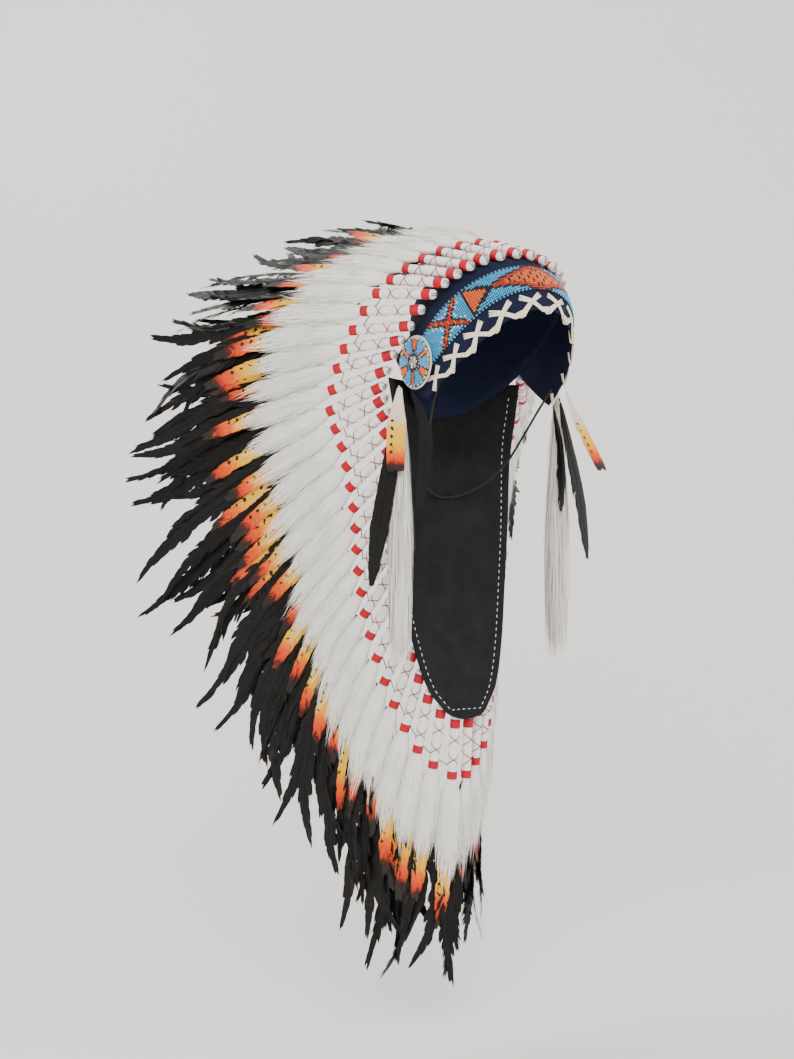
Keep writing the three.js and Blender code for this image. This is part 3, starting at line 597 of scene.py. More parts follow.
whiteDown = strandMaterial(
    "whiteDown", [(0.0, (0.80, 0.74, 0.64)), (0.35, (0.90, 0.87, 0.81)), (1.0, (0.96, 0.95, 0.93))],
    0.82, 0.75, **{"Sheen Weight": 0.3, "Sheen Roughness": 0.4})
blackVane = strandMaterial(
    "blackVane", [(0.0, (0.002, 0.0018, 0.0016)), (0.8, (0.006, 0.005, 0.0045)),
                  (1.0, (0.026, 0.017, 0.010))],
    0.75, 0.42, **{"Specular IOR Level": 0.22})
furWhite = strandMaterial(
    "furWhite", [(0.0, (0.02, 0.018, 0.016)), (0.07, (0.35, 0.30, 0.24)), (0.12, (0.78, 0.74, 0.66)),
                 (1.0, (0.92, 0.90, 0.86))],
    0.85, 0.5, **{"Sheen Weight": 0.2, "Sheen Roughness": 0.3})
dyedVane = dyedMaterial("dyedVane", 118, 8)
print("materials made")

# ---- chin cord ----

chinCord = {
    "route": [
        (78.6, -14, -146), (74, 3, -168), (66, 23, -199), (58, 43, -228), (44, 62, -250), (24, 77, -264),
        (0, 83.6, -269), (-24, 77, -264), (-44, 62, -250), (-58, 43, -228), (-66, 23, -199),
        (-74, 3, -168), (-78.6, -14, -146),
    ],
    "radius": 1.5,
    "steps": 260,
    "strands": 3,
    "strandPlace": 0.46,  # shares of the cord's radius
    "strandHalf": 0.56,
    "strandRing": 6,
    "twist": 9,  # millimetres for a turn
}


# A smooth line through places: a cubic through each pair, its slopes set by the root of the gaps beside it.
def smoothLine(places, steps):
    places = np.asarray(places, float)
    ends = np.concatenate([[2 * places[0] - places[1]], places, [2 * places[-1] - places[-2]]])
    knots = np.concatenate([[0], np.cumsum(np.sqrt(np.linalg.norm(np.diff(ends, axis=0), axis=1)))])
    single = np.diff(ends, axis=0) / np.diff(knots)[:, None]
    double = (ends[2:] - ends[:-2]) / (knots[2:] - knots[:-2])[:, None]
    slopes = single[:-1] - double + single[1:]
    at = np.linspace(knots[1], knots[-2], steps)
    low = np.clip(np.searchsorted(knots[1:-1], at) - 1, 0, len(places) - 2)
    span = (knots[2:-1] - knots[1:-2])[low]
    share = ((at - knots[1:-2][low]) / span)[:, None]
    return cubicBetween(places[low], places[low + 1], slopes[low], slopes[low + 1], share, span[:, None])


# The cord is strands laid round each other: a strand's middle turns round the route at its own place.
cordLine = smoothLine(chinCord["route"], chinCord["steps"])
cordRun = runAlong(cordLine)
cordForward = unitLength(np.gradient(cordLine, axis=0))
cordSide = unitLength(np.cross(cordForward, [0, 0, 1]))
cordUp = np.cross(cordSide, cordForward)
strandStarts = np.arange(chinCord["strands"])[:, None] / chinCord["strands"]
strandTurns = (cordRun / chinCord["twist"] + strandStarts) * 2 * np.pi
strandOffset = cordSide * np.cos(strandTurns)[..., None] + cordUp * np.sin(strandTurns)[..., None]
strandHalf = chinCord["radius"] * chinCord["strandHalf"]
cordPart = tubes(cordLine + strandOffset * chinCord["radius"] * chinCord["strandPlace"], cordUp, strandHalf,
                 strandHalf, chinCord["strandRing"])
cordPiece = addPiece("chinCord", cordPart, [blackCordFinish], ["chin_cord"])
print("chin cord made,", round(cordRun[-1]), "mm long")

# ---- cap and brow band ----

clothShape = {
    "columns": 144, "capRows": 26, "rimAcross": 0.82, "rimRows": 3, "capThickness": 1.5, "bandRows": 22,
    "threads": 1.4, "capMap": (250, 120), "bandMap": (520, 75), "edgeSteep": 18, "edgeLeast": 0.05,
}


# The cap is a dome round the band's axis: rays from the head's middle turn from the rim up to the crown.
def capSkin(lift):
    around = np.arange(clothShape["columns"] + 1)[:, None] * 360 / clothShape["columns"]
    across = np.linspace(clothShape["rimAcross"], band["top"], clothShape["rimRows"])
    rimRows = headMeet(levelOn(around, across), spoke(around), lift)
    start = np.arccos(np.clip(unitLength(rimRows[:, -1] - headCentre) @ bandAxis, -1, 1))
    share = np.linspace(0, 1, clothShape["capRows"])[1:]
    angle = (start[:, None] * (1 - share))[..., None]
    directions = bandAxis * np.cos(angle) + spoke(around) * np.sin(angle)
    return np.concatenate([rimRows, headMeet(headCentre, directions, lift)], 1)


# The piece's map in threads, from its size in millimetres.
def clothMap(part, size):
    part["map"] = part["map"] * np.array(size) * clothShape["threads"]
    return part


# The cap's two skins are closed rings of columns that meet on one corner at the crown, joined round the rim.
def capShell():
    outer, inner = [capSkin(lift)[:-1] for lift in (clothShape["capThickness"], 0.0)]
    columns, rows = outer.shape[0], outer.shape[1] - 1
    skins = [np.concatenate([skin[:, :-1].reshape(-1, 3), skin[:1, -1]]) for skin in (outer, inner)]
    shift = columns * rows + 1
    number = np.arange(columns * rows).reshape(columns, rows)
    beside = np.roll(number, -1, axis=0)
    walls = gridFaces(columns, rows, True)
    fan = np.stack([number[:, -1], beside[:, -1], np.full(columns, shift - 1)], 1)
    rim = np.stack([number[:, 0], number[:, 0] + shift, beside[:, 0] + shift, beside[:, 0]], 1)
    away = np.abs(np.linspace(-1, 1, columns))
    share = np.stack(np.meshgrid(away, np.linspace(0, 1, rows), indexing="ij"), -1)
    patternMap = np.concatenate([share.reshape(-1, 2), [[0.5, 1.0]]])
    groups = [walls, walls[:, ::-1] + shift, fan, fan[:, ::-1] + shift, rim]
    return {"points": np.concatenate(skins), "faces": [(group, 0) for group in groups],
            "map": np.tile(patternMap, (2, 1)), "tone": np.zeros(2 * shift)}


addPiece("capCloth", clothMap(capShell(), clothShape["capMap"]), [navyCloth], ["cap_crown"])


# The band is a strip on the head form, with its edges rounded over.
def bandSkin(lifts):
    across = np.linspace(0, 1, clothShape["bandRows"]) * band["top"]
    span = np.linspace(-1, 1, clothShape["columns"])[:, None]
    return bandPoint(span * (band["endLow"] + band["endRise"] * across), across, lifts)


edgeAway = np.minimum(np.linspace(0, 1, clothShape["bandRows"]), np.linspace(1, 0, clothShape["bandRows"]))
edgeRound = np.minimum(1, np.sqrt(edgeAway * clothShape["edgeSteep"] + clothShape["edgeLeast"]))
middleLift = (band["inner"] + band["outer"]) / 2
halfLift = (band["outer"] - band["inner"]) / 2
bandShell = slab(bandSkin(middleLift + halfLift * edgeRound), bandSkin(middleLift - halfLift * edgeRound))
addPiece("browBandCloth", clothMap(bandShell, clothShape["bandMap"]), [navyCloth],
         ["brow_band"])
print("cap and band made")

# ---- beadwork ----

beads = {
    "length": 2.25, "radius": 1.12, "sides": 8, "columns": 14, "stripEnd": 105, "middle": 0.56,
    "from": 0.3, "to": 0.82, "lift": 5.05, "rowPitch": 2.3, "jitter": 0.07,
}
beadColours = np.array([
    (0.035, 0.34, 0.62, 1), (0.003, 0.003, 0.005, 1), (0.78, 0.13, 0.008, 1), (0.50, 0.022, 0.006, 1),
    (0.86, 0.85, 0.80, 1), (0.80, 0.50, 0.02, 1), (0.18, 0.004, 0.016, 1), (0.075, 0.45, 0.70, 1),
])
blue, black, orange, red, white, yellow, wine, skyBlue = range(8)


# A bead is a short barrel about its own z axis: three rings of corners, narrow at both flat ends.
def beadShape(length, radius, ring):
    angle = np.arange(ring) * 2 * np.pi / ring
    levels = [(-0.5, 0.66), (0, 1.0), (0.5, 0.66)]
    rows = [np.stack([np.cos(angle) * radius * wide, np.sin(angle) * radius * wide,
                      np.full(ring, length * level)], 1) for level, wide in levels]
    first = np.arange(ring)
    beside = (first + 1) % ring
    wall = np.stack([first, beside, beside + ring, first + ring], 1)
    walls = np.concatenate([wall, wall + ring])
    caps = np.stack([first[::-1], first + 2 * ring])
    return np.concatenate(rows), [walls, caps]


# The strip's pattern by row from the front centre and height from the middle, in beads: a stepped
# diamond at the front, a stepped arrowhead beside it, and a cross before each rosette.
def stripPattern(row, high):
    code = np.where((row * 5 + np.round(high * 3).astype(int)) % 7 == 0, skyBlue, blue)
    tall = np.abs(high)
    diamond = 6.6 - 0.5 * (row // 2) * 1.05
    code = np.where(tall < diamond + 1, black, code)
    code = np.where(tall < diamond, orange, code)
    code = np.where((tall < diamond) & (tall > diamond - 1.6), red, code)
    code = np.where((tall < diamond - 1.6) & ((row + np.round(tall).astype(int)) % 5 == 0), black, code)
    arrow = np.where((row >= 27) & (row <= 37), (row - 26) // 2 * 0.9 + 0.4, -9)
    outline = np.where((row >= 25) & (row <= 38), (row - 24) // 2 * 0.9 + 0.9, -9)
    code = np.where(tall < outline, black, code)
    code = np.where(tall < arrow, orange, code)
    slant = np.abs(tall - np.abs(row - 51) * 0.72)
    inCross = (row >= 42) & (row <= 61)
    code = np.where(inCross & (slant < 1.9), black, code)
    code = np.where(inCross & (slant < 1.0), np.where(row % 3 == 0, orange, red), code)
    code = np.where(inCross & (np.abs(slant - 2.6) < 0.5) & (row % 2 == 0), white, code)
    return np.where((tall > 6) & (row % 2 == 0), black, code)


# Axes at places on a surface: along it, across it and out of it.
def surfaceAxes(alongStep, acrossStep):
    acrossAxis = unitLength(acrossStep)
    outAxis = unitLength(np.cross(alongStep, acrossAxis))
    return np.stack([np.cross(outAxis, acrossAxis), outAxis, acrossAxis], -2)


# Angles round the band from its front centre, and how far along it each is at one height and lift.
def bandRun(end, steps, across, lift):
    around = np.linspace(0, end, steps)
    return around, runAlong(bandPoint(around, across, lift))


stripAngles, stripRun = bandRun(beads["stripEnd"], 600, beads["middle"], beads["lift"])
rowsEachWay = int(stripRun[-1] / beads["rowPitch"])
rowNumber = np.arange(-rowsEachWay, rowsEachWay + 1)
rowAround = np.sign(rowNumber) * np.interp(np.abs(rowNumber) * beads["rowPitch"], stripRun, stripAngles)
columnNumber = np.arange(beads["columns"])
columnAcross = beads["from"] + (beads["to"] - beads["from"]) * (columnNumber + 0.5) / beads["columns"]
columnHigh = columnNumber - (beads["columns"] - 1) / 2
beadAround, beadAcross = [grid.ravel() for grid in np.meshgrid(rowAround, columnAcross, indexing="ij")]
beadRow, beadHigh = [grid.ravel() for grid in np.meshgrid(np.abs(rowNumber), columnHigh, indexing="ij")]


# A place on the strip's surface, so far round and up from each bead.
def nearBeads(turn, up):
    return bandPoint(beadAround + turn, beadAcross + up, beads["lift"])


randomBeads = np.random.default_rng(11)
beadLift = beads["lift"] + randomBeads.normal(0, beads["jitter"], len(beadRow))
beadOrigins = bandPoint(beadAround, beadAcross, beadLift)
beadAxes = surfaceAxes(nearBeads(0.4, 0) - nearBeads(-0.4, 0), nearBeads(0, 0.01) - nearBeads(0, -0.01))
beadAxes = beadAxes * randomBeads.uniform(0.94, 1.05, (len(beadRow), 1, 1))
barrel, barrelFaces = beadShape(beads["length"], beads["radius"], beads["sides"])
stripPart = copies(barrel, barrelFaces, beadOrigins, beadAxes, beadColours[stripPattern(beadRow, beadHigh)])
addPiece("beadStripBeads", stripPart, [glassBeads], ["bead_strip"])
print("bead strip made,", len(beadRow), "beads")

rosette = {
    "radius": 28, "crown": 3.4, "rim": 1.8, "around": 113, "across": 0.54, "lift": 7.4,
    "reachRound": 15, "reachUp": 0.36, "rings": 12, "ringPitch": 2.27, "beadLength": 1.85, "jitter": 0.08,
    "feltProfile": [(0.01, 0), (27.2, 0), (27.6, 0.3), (27.2, 0.7), (20, 1.2), (0.01, 2.0)],
    "feltColumns": 64, "backingRadius": 29.5, "backingThickness": 1.2, "backingColumns": 96, "gap": 0.3,
}


# The middle and the facing of a rosette, from the band's places round its rim.
def rosettePlace(side):
    sign = sideSigns[side]

    def nearby(turn, up):
        return bandPoint(sign * (rosette["around"] + turn), rosette["across"] + up, band["outer"])

    turned = nearby(rosette["reachRound"], 0) - nearby(-rosette["reachRound"], 0)
    upward = nearby(0, rosette["reachUp"]) - nearby(0, -rosette["reachUp"])
    facing = unitLength(np.cross(turned, upward))
    facing = facing * np.sign(facing[0]) * sign
    centre = nearby(0, 0) + facing * rosette["lift"]
    upAxis = unitLength(np.array([0, 0, 1.0]) - facing * facing[2])
    return centre, facing, upAxis, np.cross(upAxis, facing)


# The rosette's pattern by ring from the middle and turn in degrees: three stepped orange wedges edged
# in black and black spokes on blue, round a spotted middle, with a rim of mixed beads.
def rosettePattern(ring, turn, number):
    spots = np.array([white, skyBlue, red, black, yellow, white, blue, wine])
    rimSpots = np.array([white, blue, wine, yellow, blue, orange, white, blue, black])
    third = np.abs((turn + 35) % 120 - 60)
    code = np.where(number % 9 == 4, skyBlue, blue)
    code = np.where(third < 19 - 0.9 * ring, black, code)
    code = np.where(third < 12 - 0.6 * ring, orange, code)
    outer = np.abs((turn + 95) % 120 - 60)
    code = np.where((ring > 5) & (outer < 16), black, code)
    code = np.where((ring > 6) & (outer < 11), orange, code)
    code = np.where((ring == 4) | ((ring == 5) & (number % 2 == 0)), black, code)
    code = np.where(ring < 4, spots[(number * 3 + ring) % 8], code)
    return np.where(ring == rosette["rings"], rimSpots[(number * 2 + number // 5) % 9], code)


# A disc turned from a profile of (radius, height) rows, from the middle of its back to that of its front.
def discPart(centre, facing, upAxis, sideAxis, profile, columns):
    turn = (np.arange(columns) * 2 * np.pi / columns)[:, None, None]
    radius, height = np.array(profile).T[:, None, :, None]
    points = centre + (sideAxis * np.cos(turn) + upAxis * np.sin(turn)) * radius + facing * height
    rows = len(profile)
    first = np.arange(columns)[None] * rows
    groups = [gridFaces(columns, rows, True), first[:, ::-1], first + rows - 1]
    return {"points": points.reshape(-1, 3), "faces": [(group, 0) for group in groups],
            "map": np.zeros((columns * rows, 2)), "tone": np.zeros(columns * rows)}


def addRosette(side, seed):
    centre, facing, upAxis, sideAxis = rosettePlace(side)
    random = np.random.default_rng(seed)
    rings, turns, numbers = [], [], []
    for ring in range(1, rosette["rings"] + 1):
        count = int(2 * np.pi * ring * rosette["ringPitch"] / rosette["beadLength"])
        rings.append(np.full(count, ring))
        numbers.append(np.arange(count))
        turns.append(np.arange(count) * 360 / count + 7 * ring)
    ring, turn, number = [np.concatenate(group) for group in (rings, turns, numbers)]
    radius = ring * rosette["ringPitch"] - 0.9
    share = radius / rosette["radius"]
    height = rosette["crown"] + (rosette["rim"] - rosette["crown"]) * share - beads["radius"] + 0.5
    height = (height + random.normal(0, rosette["jitter"], len(ring)))[:, None]
    radians = np.radians(turn)[:, None]
    outward = sideAxis * np.cos(radians) + upAxis * np.sin(radians)
    tangent = -sideAxis * np.sin(radians) + upAxis * np.cos(radians)
    origins = centre + outward * radius[:, None] + facing * height
    axes = np.stack([outward, np.cross(tangent, outward), tangent], -2)
    shape, faces = beadShape(rosette["beadLength"], beads["radius"], beads["sides"])
    part = copies(shape, faces, origins, axes, beadColours[rosettePattern(ring, turn % 360, number)])
    addPiece("rosetteBeads_" + side, part, [glassBeads], ["rosette_" + side])
    felt = discPart(centre, facing, upAxis, sideAxis, rosette["feltProfile"], rosette["feltColumns"])
    addPiece("rosetteFelt_" + side, felt, [blackFelt])
    wide, thick = rosette["backingRadius"], rosette["backingThickness"]
    down = thick + rosette["gap"]
    edge = [(0.01, -down), (wide - 0.5, -down), (wide - 0.1, 0.25 * thick - down), (wide, 0.5 * thick - down),
            (wide - 0.1, 0.8 * thick - down), (wide - 0.5, thick - down), (0.01, thick - down)]
    backing = discPart(centre, facing, upAxis, sideAxis, edge, rosette["backingColumns"])
    addPiece("rosetteBacking_" + side, backing, [paleLeather], ["rosette_backing_" + side])


addRosette("right", 21)
addRosette("left", 22)
print("rosettes made")

# ---- lace along the lower edge ----

lace = {
    "spacing": 33, "pairs": 5, "reach": 11.5, "top": 0.225, "foot": 0.0, "strands": 3, "strandHalf": 1.15,
    "thickness": 0.6, "pinch": 1.0, "fan": 2.1, "lift": 4.4, "edgeEnd": 124, "bandHeight": 64,
}
edgeAngles, edgeRun = bandRun(lace["edgeEnd"], 900, 0, band["outer"])


def edgeAround(run):
    return np.sign(run) * np.interp(np.abs(run), edgeRun, edgeAngles)


# Flat strands side by side along lines on the band. A line is given by runs along the lower edge,
# shares of the way up the band and lifts; the strands are pinched in the middle and fan out at both ends.
def laceStrands(runs, across, lifts, steps):
    keys = np.linspace(0, 1, len(runs))
    share = np.linspace(0, 1, steps)
    spread = lace["pinch"] + (lace["fan"] - lace["pinch"]) * np.abs(2 * share - 1) ** 1.5
    offsets = (np.arange(lace["strands"]) - (lace["strands"] - 1) / 2)[:, None] * spread
    run, up, lift = [np.interp(share, keys, values) for values in (runs, across, lifts)]
    runSlope = np.gradient(run)
    upSlope = np.gradient(up) * lace["bandHeight"]
    size = np.hypot(runSlope, upSlope) + 1e-6
    run = run - offsets * upSlope / size
    up = up + offsets * runSlope / size / lace["bandHeight"]
    places = bandPoint(edgeAround(run), up, lift)
    inner = bandPoint(edgeAround(run), up, lift - 1.0)
    wide = lace["strandHalf"] * (1 - 0.25 * np.abs(2 * share - 1) ** 4)
    return tubes(places, unitLength(places - inner), wide, lace["thickness"])


# At each crossing one lace falls and runs on to the next, one rises under it, and one comes round the edge.
laceParts = []
reach, top, foot, lift = lace["reach"], lace["top"], lace["foot"], lace["lift"]
for number in range(-lace["pairs"], lace["pairs"]):
    middle = (number + 0.5) * lace["spacing"]
    low, high = middle - reach, middle + reach
    nextFoot = middle + lace["spacing"] - reach
    laceParts += [
        laceStrands([low, middle, high, nextFoot], [top, (top + foot) / 2 + 0.01, foot, 0.0],
                    [lift, lift + 1.2, lift, lift - 0.3], 30),
        laceStrands([low - 1, middle, high], [foot - 0.02, (top + foot) / 2, top],
                    [lift - 0.2, lift + 0.3, lift], 22),
        laceStrands([nextFoot - 8, nextFoot - 2, nextFoot + 1], [0.09, -0.03, 0.0],
                    [0.7, 1.6, lift - 0.2], 16),
    ]
addPiece("edgeLace", joinParts(laceParts), [creamLace], ["edge_lacing"])
print("lace made")

# ---- trailer ----

trailerShape = {
    "columns": 64, "rows": 130, "thickness": 2, "stitchInset": 8, "stitchLength": 3.4, "stitchPitch": 7.5,
    "stitchTop": -150, "stitchHalf": 0.45, "stitchThick": 0.35, "stitchBow": [-0.25, 0.2, 0.35, 0.2, -0.25],
}
feltLow, feltHigh = feltShape["up"][0], feltShape["up"][-1]


# The trailer's rows rise from its rounded foot; each column is a share of the half width at its row.
def trailerSkin(lift):
    columns = np.linspace(-1, 1, trailerShape["columns"])[:, None]
    up = feltLow + (feltHigh - feltLow) * np.linspace(0, 1, trailerShape["rows"]) ** 1.5
    return feltPoint(columns * curve(feltShape, "up", "half", up), up, lift)


halfThickness = trailerShape["thickness"] / 2
trailerPart = slab(trailerSkin(-halfThickness), trailerSkin(halfThickness))
trailerPiece = addPiece("trailerFelt", trailerPart, [blackFelt], ["trailer"])
skin = trailerSkin(0)

# White running stitches round the trailer, inside its edge, on both faces.
edgeUp = np.linspace(trailerShape["stitchTop"], feltLow + trailerShape["stitchInset"] * 1.3, 220)
edgeOut = curve(feltShape, "up", "half", edgeUp) - trailerShape["stitchInset"]
edgeLine = np.concatenate([np.stack([edgeOut, edgeUp], 1), np.stack([-edgeOut, edgeUp], 1)[::-1]])
edgeLength = runAlong(edgeLine)
stitchStarts = np.arange(2, edgeLength[-1] - 6, trailerShape["stitchPitch"])
stitchAt = stitchStarts[:, None] + np.linspace(0, trailerShape["stitchLength"], 5)
stitchOut, stitchUp = [np.interp(stitchAt, edgeLength, edgeLine[:, axis]) for axis in (0, 1)]
stitchMiddle = feltPoint(stitchOut, stitchUp, 0)
stitchNormal = feltPoint(stitchOut, stitchUp, 1.0) - stitchMiddle
stitchLift = (halfThickness + np.array(trailerShape["stitchBow"]))[:, None]
stitchParts = [tubes(stitchMiddle + stitchNormal * (face * stitchLift), stitchNormal * face,
                     trailerShape["stitchHalf"], trailerShape["stitchThick"], 6) for face in (-1, 1)]
stitchPiece = addPiece("trailerStitches", joinParts(stitchParts), [whiteStitch])

# ---- wrapped quill bases ----

wrapDetail = {
    "white": [(-0.6, 2.2), (0.2, 3.9), (1.6, 5.0), (4, 5.4), (20, 5.35), (40, 5.45), (60, 5.35), (73, 5.4),
              (75.2, 5.0), (76.2, 3.6)],
    "places": [-0.6, -0.3, 0.2, 0.8, 1.6, 2.6, 4, 12, 20, 30, 40, 50, 60, 68, 73, 74.4, 75.2, 75.8, 76.2],
    "redInner": (5.5, 16.0), "redOuter": (65.5, 74.6), "redRadius": 5.85, "ring": 16,
    "redInset": [0.55, 0.12, 0, -0.05, 0, 0.12, 0.55], "redRound": (0.25, 0.8),
    "threadPitch": 22.5, "threadFrom": 16.0, "threadTo": 65.5, "threadCross": 29.5, "threadRadius": 5.55,
    "threadOver": 0.12, "threadHalf": 0.5, "threadFlat": 0.7, "threadSteps": 54, "stringRadius": 0.55,
    "loop": [-3.2, -1.6, -0.6, 0.6, 2.0, 3.2], "loopLift": [-2.5, 0.6, 2.6, 4.3, 5.3, 5.0],
    "loopAside": 1.1, "loopRadius": 0.45,
}
down = {
    "start": 70, "end": 178, "steps": 13, "strands": 640, "points": 5, "wide": 17.5, "thick": 8.5,
    "lift": 0.5, "halfWidth": 0.5, "core": 0.60, "coreSteps": 12, "coreEnd": 0.86,
    "taper": [0.8, 1.0, 0.85, 0.55, 0.1],
}


# Places along quills with their own directions: forward to the tip, across, and out of the front.
def makeQuills(places, front):
    forward = unitLength(np.gradient(places, axis=1))
    across = unitLength(np.cross(front, forward))
    lengths = np.linalg.norm(np.diff(places, axis=1), axis=-1).sum(1)
    return {"places": places, "across": across, "front": np.cross(forward, across), "length": lengths}


# Places near quills: at a share of the length, so far across and so far in front.
def nearQuill(quills, which, share, across, lift):
    steps = quills["places"].shape[1] - 1
    at = share * steps
    low = np.clip(np.floor(at).astype(int), 0, steps - 1)
    mix = (at - low)[..., None]
    place, aside, front = [quills[key][which, low] * (1 - mix) + quills[key][which, low + 1] * mix
                           for key in ("places", "across", "front")]
    return place + aside * across[..., None] + front * lift[..., None]


def frontAt(quills, which, share):
    steps = quills["places"].shape[1] - 1
    low = np.clip(np.round(share * steps).astype(int), 0, steps)
    return quills["front"][which, low]


def addWraps(side, number, units):
    dense = np.array(wrapDetail["places"])
    reach, radius = np.array(wrapDetail["white"]).T
    places, front = featherLines(side, units, dense)
    white = np.interp(dense, reach, radius)
    parts = [tubes(places, front, white, white, wrapDetail["ring"])]
    near, far = wrapDetail["redRound"]
    for low, high in (wrapDetail["redInner"], wrapDetail["redOuter"]):
        ends = np.array([low, low + near, low + far, (low + high) / 2, high - far, high - near, high])
        wide = wrapDetail["redRadius"] - np.array(wrapDetail["redInset"])
        places, front = featherLines(side, units, ends)
        parts.append(tubes(places, front, wide, wide, wrapDetail["ring"], 1))
    # Two threads wind opposite ways, so they cross in front at each pitch: across and lift go round a circle.
    run = np.linspace(wrapDetail["threadFrom"], wrapDetail["threadTo"], wrapDetail["threadSteps"])
    middles = featherPoint(side, units[:, None], run)
    half = wrapDetail["threadHalf"]
    for way in (-1, 1):
        turn = np.pi / 2 + way * 2 * np.pi * (run - wrapDetail["threadCross"]) / wrapDetail["threadPitch"]
        away = wrapDetail["threadRadius"] + (wrapDetail["threadOver"] if way > 0 else 0)
        thread = featherPoint(side, units[:, None], run, away * np.cos(turn), away * np.sin(turn))
        parts.append(tubes(thread, unitLength(thread - middles), half, half * wrapDetail["threadFlat"], 4, 2))
    # The string that laces the wraps together, and the loop that holds each to the band or the felt.
    string = featherPoint(side, units[:-1, None] + np.linspace(0, 1, 5), wrap["stringAt"])
    thin = wrapDetail["stringRadius"]
    parts.append(tubes(string, np.array([0, 0, 1.0]), thin, thin, 6, 3))
    for aside in (-wrapDetail["loopAside"], wrapDetail["loopAside"]):
        loops = featherPoint(side, units[:, None], np.array(wrapDetail["loop"]), aside,
                             np.array(wrapDetail["loopLift"]))
        parts.append(tubes(loops, front[:, :1], wrapDetail["loopRadius"], wrapDetail["loopRadius"], 5, 3))
    addPiece(f"wrappedQuills_{side}_{number}", joinParts(parts),
             [whiteWrap, redWrap, crimsonThread, darkThread], [f"wraps_{side}_{number}"])

# ---- white down ----


# Down on quills: a closed soft core, and strands that leave the quill and stream to the tip.
# At share s the plume is wide * (1 - exp(-9 s)) * (1 - 0.5 s^3) across, and a strand stays at its own
# share of that width, reached as 1 - (1 - q)^2 over its run q.
def addDown(side, number, units, seed):
    random = np.random.default_rng(seed)
    ends = down["end"] + random.uniform(-8, 10, len(units))
    reach = down["start"] + (ends - down["start"])[:, None] * np.linspace(0, 1, down["steps"])
    quills = makeQuills(*featherLines(side, units, reach, 0, down["lift"]))
    _, _, spacing = sheetFrame(units, 135)
    wide = np.clip(spacing * 0.78, 8, down["wide"])

    def spread(share):
        return (1 - np.exp(-9 * share)) * (1 - 0.5 * np.clip(share, 0, 1.3) ** 3)

    coreShare = np.linspace(0.0, down["coreEnd"], down["coreSteps"])
    which = np.repeat(np.arange(len(units)), down["coreSteps"]).reshape(-1, down["coreSteps"])
    share = np.broadcast_to(coreShare, which.shape)
    body = spread(coreShare) * down["core"] * np.sqrt(np.clip(1 - (coreShare / 0.9) ** 4, 0.02, 1)) + 0.12
    corePlaces = nearQuill(quills, which, share, 0 * share, 0 * share)
    core = tubes(corePlaces, frontAt(quills, which, share), body * wide[:, None], body * down["thick"], 12,
                 tone=random.uniform(0.4, 0.7, len(units)))

    total = len(units) * down["strands"]
    which = np.repeat(np.arange(len(units)), down["strands"])
    root = random.random(total) ** 1.4 * 0.55
    tip = root + random.uniform(0.32, 0.62, total)
    tip = np.where(random.random(total) < 0.16, np.minimum(tip + 0.14, 1.24), np.minimum(tip, 1.04))
    radius = np.sqrt(random.uniform(0.12, 1.15, total))
    turn = random.uniform(0, 2 * np.pi, total)
    sway = random.normal(0, 1.0, (total, 2))
    run = np.linspace(0, 1, down["points"])
    share = root[:, None] + (tip - root)[:, None] * run
    away = radius[:, None] * spread(share) * (1 - (1 - run) ** 2)
    wave = sway[:, :1] * np.sin(run * np.pi * 1.5)[None] * 0.8
    across = away * wide[which][:, None] * np.cos(turn)[:, None] + wave + sway[:, 1:] * run ** 2 * 1.6
    lift = away * down["thick"] * np.sin(turn)[:, None] + sway[:, :1] * run ** 2 * 0.9
    spots = np.broadcast_to(which[:, None], share.shape)
    paths = nearQuill(quills, spots, share, across, lift)
    forward = unitLength(np.gradient(paths, axis=1))
    faceTurn = random.uniform(-0.9, 0.9, total)[:, None, None]
    faces = unitLength(frontAt(quills, spots, share) + quills["across"][which][:, :1] * faceTurn)
    sides = unitLength(np.cross(faces, forward))
    halfWidths = down["halfWidth"] * np.array(down["taper"]) * random.uniform(0.6, 1.15, (total, 1))
    patternMap = np.stack([np.broadcast_to(random.random((total, 1)), share.shape), np.clip(share, 0, 1)], -1)
    strands = ribbons(paths, sides, halfWidths, patternMap, random.beta(2.5, 1.2, total))
    addPiece(f"down_{side}_{number}", joinParts([core, strands]), [whiteDown],
             [f"fluffs_{side}_{number}"])


# ---- vanes ----


